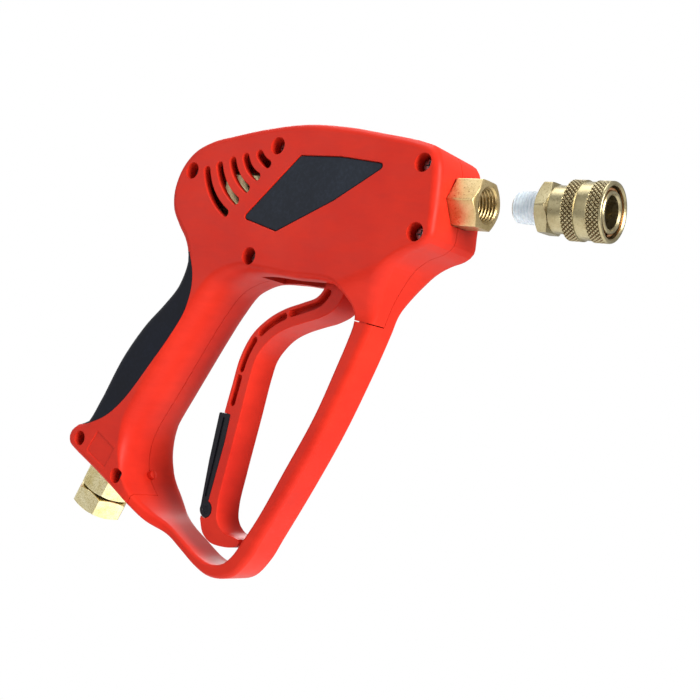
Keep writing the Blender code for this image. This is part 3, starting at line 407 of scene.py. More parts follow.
def hexagon(name, across, low, high, chamfers, phase, origin, direction):
    """A hexagonal bar, its ends chamfered where asked, with its long edges slightly broken."""
    corner = across / 2 / math.cos(math.pi / 6)
    start = Vector(origin)
    bar = rod(name, corner, start + direction * low, start + direction * high, 6, phase)
    softened(bar, 0.45, 3, 40.0)
    drop = (corner - across / 2 + 0.5) * 0.55
    flat = across / 2 - 0.4
    slope = drop / (corner + 0.2 - flat)
    lens = []
    for end, back, chamfered in ((low, 1.0, chamfers[0]), (high, -1.0, chamfers[1])):
        if chamfered:
            tip = end - back * 2.0 * slope
            half = [(0.0, tip), (flat - 2.0, tip), (corner + 0.2, end + back * drop)]
        else:
            half = [(0.0, end - back), (corner + 0.2, end - back)]
        lens += half if end == low else half[::-1]
    return bar, revolved(name + "_lens", lens, origin, direction, 120)


def swept(centre, start, turn, count):
    """Points round a centre, from a start spoke through a turn, both ends included."""
    spokes = [start.copy() for _ in range(count + 1)]
    for k, spoke in enumerate(spokes):
        spoke.rotate(Matrix.Rotation(-turn * k / count, 2))
    return [centre + spoke for spoke in spokes]


def arc_through(top, middle, bottom):
    """Points along the arc from top through middle to bottom."""
    a, b, c = Vector(top), Vector(middle), Vector(bottom)
    d = 2 * (a.x * (b.y - c.y) + b.x * (c.y - a.y) + c.x * (a.y - b.y))
    aa, bb, cc = a.length_squared, b.length_squared, c.length_squared
    ux = (aa * (b.y - c.y) + bb * (c.y - a.y) + cc * (a.y - b.y)) / d
    uy = (aa * (c.x - b.x) + bb * (a.x - c.x) + cc * (b.x - a.x)) / d
    centre = Vector((ux, uy))
    start = a - centre
    return swept(centre, start, start.angle_signed(c - centre), 16)


def slot_outline(path, half, cap_steps=8):
    left, right = [], []
    for i, point in enumerate(path):
        along = (path[min(i + 1, len(path) - 1)] - path[max(i - 1, 0)]).normalized()
        normal = Vector((-along.y, along.x))
        left.append(tuple(point + normal * half))
        right.append(tuple(point - normal * half))
    outline = list(left)
    for end, first in ((path[-1], left[-1]), (path[0], right[0])):
        if end is path[0]:
            outline.extend(right[::-1])
        cap = swept(end, Vector(first) - end, math.pi, cap_steps)
        outline.extend(tuple(point) for point in cap[1:-1])
    return outline


def smoothstep(x):
    x = min(1.0, max(0.0, x))
    return x * x * (3.0 - 2.0 * x)


# ---- materials ----
WHITE = (1.0, 1.0, 1.0)


class Look:
    """A Principled material with its texture nodes."""

    def __init__(self, name, roughness, metallic=0.0, **plain):
        self.material = bpy.data.materials.new(name)
        self.material.use_nodes = True
        self.tree = self.material.node_tree
        self.shader = self.tree.nodes["Principled BSDF"]
        for key, value in {"Roughness": roughness, "Metallic": metallic, **plain}.items():
            self.shader.inputs[key.replace("_", " ")].default_value = value
        self.coordinates = self.node("TexCoord")

    def node(self, kind, inputs=(), **settings):
        made = self.tree.nodes.new("ShaderNode" + kind)
        for key, value in settings.items():
            setattr(made, key, value)
        for key, value in dict(inputs).items():
            made.inputs[key].default_value = value
        return made

    def link(self, a, b):
        self.tree.links.new(a, b)

    def noise(self, scale, detail=3.0, stretch=(1.0, 1.0, 1.0), roughness=0.55, turn=(0.0, 0.0, 0.0)):
        """Noise over the object's own coordinates, in features per metre."""
        mapping = self.node("Mapping", {"Scale": stretch, "Rotation": turn})
        self.link(self.coordinates.outputs["Object"], mapping.inputs["Vector"])
        texture = self.node("TexNoise", {"Scale": scale, "Detail": detail, "Roughness": roughness})
        self.link(mapping.outputs["Vector"], texture.inputs["Vector"])
        return texture.outputs["Fac"]

    def ramp(self, factor, stops):
        ramp = self.node("ValToRGB")
        while len(ramp.color_ramp.elements) < len(stops):
            ramp.color_ramp.elements.new(0.5)
        for element, (at, colour) in zip(ramp.color_ramp.elements, stops):
            element.position = at
            element.color = (*colour, 1.0)
        self.link(factor, ramp.inputs["Fac"])
        return ramp.outputs["Color"]

    def span(self, factor, low, high, from_low=0.3, from_high=0.7):
        limits = {"From Min": from_low, "From Max": from_high, "To Min": low, "To Max": high}
        change = self.node("MapRange", limits)
        self.link(factor, change.inputs["Value"])
        return change.outputs["Result"]

    def mix(self, factor, a, b, blend="MIX"):
        mix = self.node("Mix", data_type="RGBA", blend_type=blend)
        if isinstance(factor, float):
            mix.inputs["Factor"].default_value = factor
        else:
            self.link(factor, mix.inputs["Factor"])
        for socket, value in ((mix.inputs["A"], a), (mix.inputs["B"], b)):
            if isinstance(value, tuple):
                socket.default_value = (*value, 1.0)
            else:
                self.link(value, socket)
        return mix.outputs["Result"]

    def colour(self, value):
        self.link(value, self.shader.inputs["Base Color"])

    def rough(self, value):
        self.link(value, self.shader.inputs["Roughness"])

    def bumps(self, *layers):
        """Adds height layers of (factor, strength, distance in mm)."""
        last = None
        for factor, strength, distance in layers:
            bump = self.node("Bump", {"Strength": strength, "Distance": distance * MM})
            self.link(factor, bump.inputs["Height"])
            if last:
                self.link(last, bump.inputs["Normal"])
            last = bump.outputs["Normal"]
        self.link(last, self.shader.inputs["Normal"])

    def attribute(self, name):
        return self.node("Attribute", attribute_name=name).outputs["Fac"]


def nylon(name, deep, bright, roughness):
    look = Look(name, roughness, Specular_IOR_Level=0.12)
    broad = look.noise(28.0, 3.0)
    fine = look.noise(1900.0, 2.0)
    flow = look.noise(90.0, 4.0, stretch=(1.0, 1.0, 3.0), turn=(0.0, 0.5, 0.0))
    red = look.ramp(broad, [(0.35, deep), (0.65, bright)])
    shade = look.ramp(flow, [(0.35, (0.93, 0.90, 0.90)), (0.65, WHITE)])
    look.colour(look.mix(1.0, red, shade, "MULTIPLY"))
    look.rough(look.span(flow, roughness - 0.05, roughness + 0.06))
    look.bumps((fine, 0.25, 0.04), (look.noise(260.0, 2.0), 0.10, 0.10))
    return look.material


def soft_black(name, deep, bright, roughness, grain, depth):
    look = Look(name, roughness, Specular_IOR_Level=0.1)
    broad = look.noise(40.0, 4.0)
    fine = look.noise(grain, 3.0)
    tone = look.ramp(broad, [(0.35, deep), (0.68, bright)])
    dust = look.ramp(fine, [(0.45, WHITE), (0.75, (1.35, 1.35, 1.4))])
    look.colour(look.mix(1.0, tone, dust, "MULTIPLY"))
    look.rough(look.span(broad, roughness - 0.06, roughness + 0.08))
    look.bumps((fine, 0.5, depth))
    return look.material


def brass(name, deep, pale, tarnish, roughness, speckle, turning=None):
    """Machined brass: clouded colour, painted shade in dark brown in the grooves and fine tool marks."""
    look = Look(name, roughness, 1.0)
    cloud = look.noise(130.0, 5.0, roughness=0.65)
    spots = look.noise(1500.0, 4.0, roughness=0.7)
    base = look.ramp(cloud, [(0.32, deep), (0.62, pale)])
    specks = look.ramp(spots, [(0.36, tarnish), (0.50, WHITE)])
    marked = look.mix(speckle, base, specks, "MULTIPLY")
    # Painted shade: the groove attribute darkens the brass to dark brown in knurl and thread grooves.
    look.colour(look.mix(look.attribute("groove"), marked, (0.10, 0.055, 0.018)))
    look.rough(look.span(spots, roughness - 0.07, roughness + 0.12))
    layers = [(spots, 0.25, 0.03)]
    if turning:
        layers.append((look.noise(2600.0, 2.0, stretch=turning), 0.35, 0.02))
    look.bumps(*layers)
    return look.material


def metal(name, deep, pale, roughness, stretch=(1.0, 1.0, 1.0)):
    look = Look(name, roughness, 1.0)
    lines = look.noise(900.0, 4.0, stretch=stretch)
    look.colour(look.ramp(lines, [(0.3, deep), (0.7, pale)]))
    look.rough(look.span(lines, roughness - 0.06, roughness + 0.10))
    look.bumps((lines, 0.2, 0.02))
    return look.material


RED = nylon("nylon_red", (0.58, 0.022, 0.011), (0.66, 0.029, 0.013), 0.42)
TRIGGER_RED = nylon("nylon_trigger", (0.56, 0.021, 0.011), (0.64, 0.028, 0.013), 0.40)
GRIP = soft_black("grip_rubber", (0.004, 0.005, 0.009), (0.008, 0.010, 0.017), 0.52, 900.0, 0.05)
PANEL = soft_black("panel_inlay", (0.010, 0.013, 0.020), (0.019, 0.024, 0.034), 0.46, 700.0, 0.08)
LOCK = soft_black("lock_nylon", (0.007, 0.007, 0.010), (0.014, 0.013, 0.018), 0.38, 1200.0, 0.03)
BRASS = brass("brass_outlet", (0.50, 0.37, 0.15), (0.66, 0.52, 0.27), (0.64, 0.46, 0.34), 0.31, 0.45)
TURNED = (1.0, 0.02, 0.02)
BRASS_COUPLER = brass(
    "brass_coupler", (0.29, 0.24, 0.13), (0.42, 0.37, 0.22), (0.60, 0.52, 0.36), 0.31, 0.35, TURNED
)
BRASS_PALE = brass("brass_inlet", (0.72, 0.60, 0.28), (0.93, 0.84, 0.54), (0.75, 0.66, 0.40), 0.27, 0.6)
STEEL = metal("steel_drawn", (0.42, 0.42, 0.44), (0.62, 0.62, 0.64), 0.28, (0.1, 1.0, 1.0))
SCREW_STEEL = metal("steel_black", (0.24, 0.24, 0.25), (0.48, 0.48, 0.50), 0.34)
COPPER = metal("copper_wire", (0.52, 0.22, 0.09), (0.80, 0.42, 0.20), 0.26)
SEAL = soft_black("seal_rubber", (0.008, 0.008, 0.008), (0.018, 0.018, 0.018), 0.55, 1500.0, 0.03)


def sealant():
    radius = (0.001, 0.001, 0.0012)
    soft = {"Subsurface_Weight": 0.25, "Subsurface_Radius": radius, "Subsurface_Scale": 0.6}
    look = Look("thread_sealant", 0.55, **soft)
    cloud = look.noise(420.0, 5.0, roughness=0.6)
    white = look.ramp(cloud, [(0.30, (0.56, 0.66, 0.73)), (0.62, (0.74, 0.83, 0.89))])
    # Painted shade: the groove attribute turns the sealant a darker grey-blue in the thread's valleys.
    look.colour(look.mix(look.attribute("groove"), white, (0.48, 0.58, 0.66)))
    look.bumps((look.noise(1100.0, 4.0), 0.6, 0.08))
    return look.material


SEALANT = sealant()


# ---- casing ----
def half_width(x, z):
    if z < HEEL_TOP_Z:
        share = smoothstep((x - HEEL_TAPER[0]) / (HEEL_TAPER[1] - HEEL_TAPER[0]))
    elif x > LEG_REAR_X:
        along = LEG_NORMAL[0] * (x - LEG_START[0]) + LEG_NORMAL[1] * (z - LEG_START[1])
        share = smoothstep(along / LEG_TAPER)
    else:
        share = 0.0
    return HALF_WIDTH + (STRAP_HALF_WIDTH - HALF_WIDTH) * share


def outline_rings(bm, knots, inwards):
    samples = smooth_curve(knots, OUTLINE_STEP)
    facing = 1.0 if signed_area(samples) > 0 else -1.0
    if inwards:
        facing = -facing
    rings = []
    for i, (x, z, inset, extent) in enumerate(samples):
        before, after = samples[i - 1], samples[(i + 1) % len(samples)]
        along = Vector((after[0] - before[0], after[1] - before[1])).normalized()
        outward = Vector((along.y, -along.x)) * facing
        ring = []
        for side in (-1.0, 1.0):
            half = []
            for k in range(ROUNDING_STEPS + 1):
                angle = math.pi / 2 * k / ROUNDING_STEPS
                back = inset * (1.0 - math.sin(angle))
                y = side * (HALF_WIDTH - extent * (1.0 - math.cos(angle)))
                half.append(bm.verts.new(place(x - outward.x * back, y, z - outward.y * back)))
            ring.extend(half if side < 0 else half[::-1])
        rings.append(ring)
    for a, b in zip(rings, rings[1:] + rings[:1]):
        for k in range(len(a) - 1):
            bm.faces.new((a[k], a[k + 1], b[k + 1], b[k]))
    pairs = list(zip(rings, rings[1:] + rings[:1]))
    return [[bm.edges.get((a[k], b[k])) for a, b in pairs] for k in (0, -1)]


def slice_mesh(bm, point, normal, wanted):
    touched = set()
    for face in bm.faces:
        low = Vector([min(v.co[k] for v in face.verts) for k in range(3)])
        high = Vector([max(v.co[k] for v in face.verts) for k in range(3)])
        if wanted(low, high):
            touched.update([face, *face.edges, *face.verts])
    bmesh.ops.bisect_plane(bm, geom=list(touched), plane_co=place(*point), plane_no=normal, dist=1e-6)


def casing_block(name):
    bm = bmesh.new()
    outside = outline_rings(bm, OUTER_OUTLINE, inwards=False)
    inside = outline_rings(bm, HAND_HOLE, inwards=True)
    for k in (0, 1):
        bmesh.ops.triangle_fill(bm, edges=outside[k] + inside[k], use_beauty=True, normal=(0.0, 1.0, 0.0))
    normal = Vector((LEG_NORMAL[0], 0.0, LEG_NORMAL[1]))
    start = Vector((LEG_START[0], 0.0, LEG_START[1]))
    rear, top = place(LEG_REAR_X, 0.0, 0.0).x, place(0.0, 0.0, HEEL_TOP_Z).z
    for k in range(TAPER_CUTS + 1):
        at = start + normal * (LEG_TAPER / normal.length_squared * k / TAPER_CUTS)
        slice_mesh(bm, at, normal, lambda low, high: high.x > rear)
    for k in range(TAPER_CUTS + 1):
        x = HEEL_TAPER[0] + (HEEL_TAPER[1] - HEEL_TAPER[0]) * k / TAPER_CUTS
        slice_mesh(bm, (x, 0.0, 0.0), FORWARD, lambda low, high: low.z < top)
    for vert in bm.verts:
        vert.co.y *= half_width(vert.co.x / MM - SHIFT[0], vert.co.z / MM - SHIFT[2]) / HALF_WIDTH
    bmesh.ops.remove_doubles(bm, verts=bm.verts, dist=1e-6)
    return from_bmesh(name, bm)


def kept_right(shift):
    """The part of the mid plane behind the seams in the leg and the heel."""
    (leg_a, leg_b), (heel_a, heel_b) = SEAM_LEG, SEAM_HEEL
    outline = [(40, 60), (-230, 60), (-230, -175), (heel_a[0] - 4 + shift, -175)]
    outline += [(heel_a[0] + shift, heel_a[1]), (heel_b[0] + shift, heel_b[1]), (-120, -100)]
    outline += [(leg_a[0], leg_a[1] - shift), (leg_b[0], leg_b[1] - shift), (40, leg_b[1] - shift)]
    return outline


def grip_cutter(extra):
    region = grown(smooth_curve(GRIP_EDGE, 1.5, closed=False) + [(-215, -118), (-215, -26)], extra)
    shell = slab("grip_region", region, -30, 30)
    core_line = smooth_curve(CORE_REAR, 4.0, closed=False)
    core = grown(core_line + [(-172, -120), (-120, -80), (-115, -31)], -extra)
    core_half = CORE_HALF_WIDTH - extra
    return carved(shell, cuts(slab("grip_core", core, -core_half, core_half)))


def broken_edge(name, outline_at, side, depth, rim=0.45, surface=HALF_WIDTH):
    """A cutter into one flat side whose mouth is broken by a small rounding."""
    layers = [(outline_at(0.0), side * (surface - depth)), (outline_at(0.0), side * (surface - rim))]
    for back, up in quarter_round(rim):
        layers.append((outline_at(back), side * (surface - rim + up)))
    layers.append((outline_at(rim), side * (surface + 3.0)))
    return stacked(name, layers)


def build_casing():
    head = slab("head_cavity", smooth_curve(HEAD_CAVITY, 4.0), WALL - HALF_WIDTH, HALF_WIDTH - WALL)
    bosses = []
    for name, (x, z) in SCREWS.items():
        if name.startswith(("head", "nose")):
            bosses.append(rod("boss", BOSS_RADIUS, (x, -20, z), (x, 20, z), 32))
    for x in RIBS:
        bosses.append(block("rib", (x - RIB_HALF_WIDTH, -20, 5.6), (x + RIB_HALF_WIDTH, 20, 40)))
    carved(head, cuts(*bosses))
    base = Vector((INLET_START[0], 0.0, INLET_START[1]))
    root, end = STUD
    seat_radius = (HEX_OUTLET / 2 + 0.15) / math.cos(math.pi / 6)
    shared = cuts(
        head,
        grip_cutter(0.0),
        block("trigger_slot", (-98, -SLOT_HALF_WIDTH, -45), (-50, SLOT_HALF_WIDTH, -30)),
        rod("nose_hole", 6.2, (-25, 0, 0), (-5, 0, 0)),
        rod("nose_seat", seat_radius, (-12.3, 0, 0), (-5, 0, 0), 6, OUTLET_PHASE),
        rod("inlet_hole", 6.9, base - INLET_DOWN * 26, base + INLET_DOWN * 12),
    )
    profile = [(0, 0), (2.0, 0), (2.0, 3.1), (1.85, 3.45), (1.45, 3.65), (0, 3.72)]
    pointing = Vector((end[0] - root[0], 0.0, end[1] - root[1])).normalized()
    stud = revolved("stud", profile, (root[0], 0, root[1]), pointing, 32)
    right_region = slab("right_region", kept_right(0), -40, -SPLIT_GAP)
    left_region = slab("left_region", kept_right(SEAM_GAP), -40, SPLIT_GAP)
    (leg_a, leg_b), (heel_a, heel_b) = SEAM_LEG, SEAM_HEEL
    leg_z = (leg_a[1] + leg_b[1]) / 2
    heel_x = (heel_a[0] + heel_b[0]) / 2
    tongues = [
        ("join", block("leg_tongue", (-43.0, -8.0, leg_z - 2.5), (-39.6, -0.3, leg_z + 0.9))),
        ("join", block("heel_tongue", (heel_x - 0.6, -7.0, -142.4), (heel_x + 2.2, -0.3, -140.4))),
    ]
    notches = []
    keys = [HEEL_KEY] + [((x - 1.1, 5.8), (x + 1.1, height)) for x, height in RIBS.items()]
    for (x_low, z_low), (x_high, z_high) in keys:
        tongues.append(("join", block("key", (x_low, -1.0, z_low), (x_high, 2.0, z_high))))
        notches.append(block("room", (x_low - 0.5, -1.3, z_low - 0.5), (x_high + 0.5, 1.0, z_high + 0.3)))
    pocket = grown(rounded(PLATE, 1.2), GAP)
    panel = rounded(LOBE_PANEL, 0.8)
    for side, half in ((-1.0, "right"), (1.0, "left")):
        if side < 0:
            steps = [("join", stud), ("keep", right_region), *shared, *cuts(*notches)]
        else:
            steps = [("join", stud), ("cut", left_region), *tongues, *shared]
        marks = [broken_edge("plate_pocket", lambda grow: grown(pocket, grow), side, 1.7, 0.35)]
        for points in VENTS:
            path = arc_through(*points)
            vent = broken_edge("vent", lambda grow: slot_outline(path, VENT_HALF_WIDTH + grow), side, 7.0)
            marks.append(vent)
        if side < 0:
            for name, (x, z) in SCREWS.items():
                wide = HEEL_BORE if name.startswith("heel") else SCREW_BORE
                bore = [(0, 0), (wide, 0), (wide, 8.5)]
                bore += [(wide + back, 8.6 + up) for back, up in quarter_round(0.4)]
                bore += [(wide + 0.4, 12.0), (0, 12.0)]
                floor = SCREW_DEPTH - HALF_WIDTH
                marks.append(revolved("counterbore", bore, (x, floor, z), -SIDEWAYS, 48))
        marks.append(broken_edge("lobe_panel", lambda grow: grown(panel, grow), side, 0.35, 0.3))
        piece = carved(casing_block(f"casing_{half}_shell"), steps + cuts(*marks), 28.0)
        finished(piece, RED, "gun", "casing_red", "casing_" + half)

    grip = carved(casing_block("grip_backstrap_skin"), [("keep", grip_cutter(-GRIP_GAP))])
    finished(grip, GRIP, "gun", "grip_rubber", "grip_backstrap")

    for side, name in ((-1.0, "side_plate_right"), (1.0, "side_plate_left")):
        outline = rounded(PLATE, 1.2)
        layers = [(outline, side * 15.4), (outline, side * PLATE_EDGE)]
        for back, up in quarter_round(1.0):
            layers.append((grown(outline, -0.35 * back), side * (PLATE_EDGE + 0.25 * up)))
        finished(stacked(name + "_inlay", layers), PANEL, "gun", "panel_black", name)


def build_gate_mark():
    """The round mark that the mould's gate left on the guard's near side."""
    mark = [(0, 0), (1.0, 0), (1.05, 0.12), (0.9, 0.22), (0.65, 0.12), (0, 0.10)]
    disc = revolved("guard_gate_mark", mark, (-112.4, -STRAP_HALF_WIDTH + 0.05, -155.4), -SIDEWAYS, 32)
    finished(disc, RED, "gun", "casing_red")


def build_screws():
    for name, (x, z) in SCREWS.items():
        head = SCREW_DEPTH - HALF_WIDTH - GAP
        profile = [(0, 0), (1.4, 0), (1.4, 16.0), (3.1, 16.0)]
        profile += [(3.1, 17.3), (2.9, 17.9), (2.2, 18.4), (0, 18.6)]
        screw = revolved("screw_" + name, profile, (x, head + 16.0, z), -SIDEWAYS, 40)
        arms = []
        for a, b in ((CROSS_LENGTH / 2, CROSS_WIDTH / 2), (CROSS_WIDTH / 2, CROSS_LENGTH / 2)):
            arms.append(block("arm", (x - a, head - 3.0, z - b), (x + a, head - 1.1, z + b)))
        carved(screw, cuts(*arms))
        finished(screw, SCREW_STEEL, "gun", "screw_steel", "casing_screw_" + name)


# ---- trigger ----
def trigger_body():
    """The bent lever, well rounded along the fingers' side and crisper behind."""
    front = smooth_curve(TRIGGER_FRONT, 1.6, closed=False)
    outline = front + smooth_curve(TRIGGER_REAR, 1.6, closed=False)
    thing = slab("trigger_lever", outline, -TRIGGER_HALF_WIDTH, TRIGGER_HALF_WIDTH)
    mesh = thing.data
    bm = bmesh.new()
    bm.from_mesh(mesh)
    layer = bm.edges.layers.float.new("bevel_weight_edge")
    limit = place(0.0, 0.0, -143.0).z
    for edge in bm.edges:
        a, b = (vert.co for vert in edge.verts)
        if abs(a.y - b.y) > 1e-6:
            continue
        middle = (a + b) / 2
        here = Vector((middle.x / MM - SHIFT[0], middle.z / MM - SHIFT[2]))
        distance = min((here - Vector(point)).length for point in front[:-8])
        edge[layer] = 1.0 if distance < 1.0 and middle.z > limit else 0.4
    bm.to_mesh(mesh)
    bm.free()
    return softened(thing, 2.9, 7, weighted=True)


def recess_path(start, end):
    rear = smooth_curve(TRIGGER_REAR, 1.0, closed=False)
    ends = []
    for point in (start, end):
        ends.append(min(range(len(rear)), key=lambda i: (Vector(rear[i]) - Vector(point)).length))
    first, last = sorted(ends)
    path = []
    for i in range(first, last + 1):
        along = Vector(rear[min(i + 1, len(rear) - 1)]) - Vector(rear[max(i - 1, 0)])
        inward = Vector((along.y, -along.x)).normalized()
        path.append(Vector(rear[i]) + inward * 2.8)
    return path


def broken_slot(name, path, half, side, depth, rim):
    """A cutter for a round-ended slot in the trigger's side."""
    surface = TRIGGER_HALF_WIDTH
    return broken_edge(name, lambda grow: slot_outline(path, half + grow, 6), side, depth, rim, surface)


def build_trigger():
    (px, pz), (lx, lz), width = TRIGGER_PIVOT, LOCK_PIVOT, TRIGGER_HALF_WIDTH
    trigger = trigger_body()
    hub = rod("hub", 4.2, (px, -width, pz), (px, width, pz), 40)
    tools = [rod("bore", 2.1, (px, -9, pz), (px, 9, pz), 32)]
    for side in (-1.0, 1.0):
        low, high = sorted((side * 4.2, side * 9.0))
        tools.append(slab("rebate", grown(rounded(LOCK_OUTLINE, 0.6, 4), 0.1), low, high))
        tools.append(rod("sweep", 3.7, (lx, low, lz), (lx, high, lz), 40))
        for start, end in TRIGGER_RECESSES:
            path = recess_path(start, end)
            tools.append(broken_slot("recess", path, RECESS_HALF_WIDTH, side, 3.4, 0.22))
    web = [(-120, -96.1), (-105.3, -96.1), (-106.4, -117), (-106.9, -132.9), (-120, -132.9)]
    tools.append(slab("web", web, -9, 9))
    carved(trigger, [("join", hub), *cuts(*tools)])
    finished(trigger, TRIGGER_RED, "trigger", "trigger_red", "trigger")


def build_lock():
    (lx, lz), width = LOCK_PIVOT, TRIGGER_HALF_WIDTH
    lock = softened(slab("trigger_lock_bar", rounded(LOCK_OUTLINE, 0.6, 4), -width, width), 0.35, 3)
    face = 2 * width + 0.4
    boss = [(0, 0), (2.9, 0), (3.3, 0.35), (3.3, face - 0.35), (2.9, face), (1.7, face)]
    boss += [(1.5, face - 0.35), (0, face - 0.35)]
    boss = revolved("boss", boss, (lx, width + 0.2, lz), -SIDEWAYS, 48)
    inner = [(-90, -90), (-105.6, -90), (-106.7, -117), (-107.2, -132.9)]
    inner += [(-115, -132.9), (-115, -150), (-90, -150)]
    tools = [slab("channel", inner, -4.5, 4.5)]
    groove = [Vector((-104.4, -98.6)), Vector((-105.0, -112.0)), Vector((-106.3, -131.5))]
    for side in (-1.0, 1.0):
        tools.append(broken_slot("groove", groove, 0.7, side, 0.7, 0.2))
    carved(lock, [("join", boss), *cuts(*tools)])
    finished(lock, LOCK, "trigger_lock", "lock_black", "trigger_lock")


# ---- threads and knurls ----
def thread_height(along, angle, pitch):
    """0 in the root and 1 at the crest of a right-hand vee thread, slightly flattened."""
    turns = along / pitch - angle / (2 * math.pi)
    wave = abs((turns % 1.0) * 2.0 - 1.0)
    return smoothstep((wave - 0.08) / 0.84)


def thread_plug(name, low, high, radius_low, radius_high, depth, pitch, origin, direction):
    """A threaded plug to cut a female thread; its crests are the thread's roots."""
    rows = int((high - low) / (pitch / 10))
    profile = [(0.0, low)]
    for i in range(rows + 1):
        share = i / rows
        profile.append((radius_low + (radius_high - radius_low) * share, low + (high - low) * share))
    profile.append((0.0, high))

    def radius_at(radius, along, angle):
        return radius + depth * (thread_height(along, angle, pitch) - 1.0), 0.0

    return revolved(name, profile, origin, direction, radius_at=radius_at)


def shade_grooves(thing, origin, direction, root, depth, low, high):
    """Marks how deep each point of a threaded bore lies, as painted shade that darkens its brass there."""
    inverse = frame_to(origin, direction).inverted()
    mesh = thing.data
    attribute = mesh.attributes.get("groove") or mesh.attributes.new("groove", "FLOAT", "POINT")
    for i, vert in enumerate(mesh.vertices):
        local = inverse @ vert.co
        radius = math.hypot(local.x, local.y) / MM
        along = local.z / MM
        crest = root(along) - depth
        inside = low < along < high and crest - 0.05 < radius < root(along) + 0.2
        # Painted shade: the deeper in the thread's groove, the darker.
        attribute.data[i].value = smoothstep((radius - crest) / depth) * 0.55 if inside else 0.0


def build_outlet():
    centre = (0.0, 0.0, 0.0)
    ends = (False, True)
    fitting, lens = hexagon("outlet_hex", HEX_OUTLET, -12.2, 0.0, ends, OUTLET_PHASE, centre, FORWARD)
    spigot = revolved("spigot", [(0, -19.5), (5.9, -19.5), (5.9, -6.0), (0, -6.0)], centre, FORWARD, 64)
    way = [(0, -25), (4.75, -25), (4.75, -13.4), (3, -13.4), (3, -11.2), (5.4, -10.4)]
    bore = revolved("bore", way + [(5.4, -9.0), (0, -9.0)], centre, FORWARD, 96)
    cone = [(0, -1.0), (5.8, -1.3), (7.1, 0.0), (7.8, 0.7), (0, 0.7)]
    mouth = revolved("mouth", cone, centre, FORWARD, 96)
    low, high, depth = -10.2, 0.6, 0.65
    wide = (6.55, 7.1)
    thread = thread_plug("thread", low, high, *wide, depth, PIPE_PITCH, centre, FORWARD)
    carved(fitting, [("keep", lens), ("join", spigot), *cuts(bore, thread, mouth)])

    def root(along):
        return wide[0] + (wide[1] - wide[0]) * (along - low) / (high - low)

    shade_grooves(fitting, centre, FORWARD, root, depth, low, -0.4)
    finished(fitting, BRASS, "gun", "brass", "outlet_fitting")


def build_inlet():
    base = (INLET_START[0], 0.0, INLET_START[1])
    ends = (True, True)
    fitting, lens = hexagon("inlet_hex", HEX_INLET, 0.4, 11.3, ends, INLET_PHASE, base, INLET_DOWN)
    core = [(0, -12), (6.5, -12), (6.5, 5), (6, 6), (6, 12.6), (4.7, 12.6), (4.7, 14.2), (6, 14.2)]
    core += [(6, 14.9), (5.2, 14.9), (5.2, 16.1), (6, 16.1), (6, 16.5), (5.7, 16.8), (0, 16.8)]
    way = [(0, -20), (5.3, -20), (5.3, 3.3), (3.4, 3.3), (3.4, 16.0), (4.4, 17.0), (4.4, 25), (0, 25)]
    core = revolved("core", core, base, INLET_DOWN)
    carved(fitting, [("keep", lens), ("join", core), *cuts(revolved("way", way, base, INLET_DOWN))])
    finished(fitting, BRASS_PALE, "gun", "bright_brass", "inlet_hex_fitting")

    nut, lens = hexagon("inlet_nut", HEX_INLET, 11.7, 21.0, ends, INLET_PHASE, base, INLET_DOWN)
    bore = [(0, 5), (6.3, 5), (6.3, 14.6), (6.9, 14.6), (6.9, 20.2), (7.8, 21.1), (9.9, 25), (0, 25)]
    bore = revolved("nut_bore", bore, base, INLET_DOWN, 96)
    low, radius, depth = 16.9, 7.3, 0.7
    thread = thread_plug("nut_thread", low, 21.6, radius, radius, depth, 1.5, base, INLET_DOWN)
    carved(nut, [("keep", lens), *cuts(bore, thread)])
    shade_grooves(nut, base, INLET_DOWN, lambda along: radius, depth, low, 20.4)
    finished(nut, BRASS_PALE, "swivel_nut", "bright_brass", "inlet_swivel_nut")


# ---- coupler ----
KNURLED = ((22.3, 26.9), (31.7, 36.6))
KNURL_COUNT = 40.0
KNURL_RISE = 1.7
KNURL_DEPTH = 0.46
BALL_RADIUS = 1.4
BALL_CIRCLE = 7.15
BALL_OUT = [Vector((0.0, y, z)).normalized() for y, z in ((1, 1), (-1, 1), (-1, -1), (1, -1))]


def knurl(radius, along, angle):
    """Crossed grooves on the sleeve's two raised bands, with painted shade in them as the second value."""
    for low, high in KNURLED:
        if radius > 10.6 and low < along < high:
            around = KNURL_COUNT * angle / (2 * math.pi)
            up = (along - low) / KNURL_RISE
            wave_a = abs(((around + up) % 1.0) * 2.0 - 1.0)
            wave_b = abs(((around - up) % 1.0) * 2.0 - 1.0)
            height = smoothstep((1.0 - max(wave_a, wave_b)) / 0.55)
            edge = smoothstep((along - low) / 0.25) * smoothstep((high - along) / 0.25)
            # The second value is painted shade for the grooves between the pyramids.
            return radius - KNURL_DEPTH * (1.0 - height) * edge, (1.0 - height) * 0.95 * edge
    return radius, 0.0


def band(low, high, radius, step):
    count = round((high - low) / step)
    return [(radius, low + (high - low) * k / count) for k in range(count + 1)]


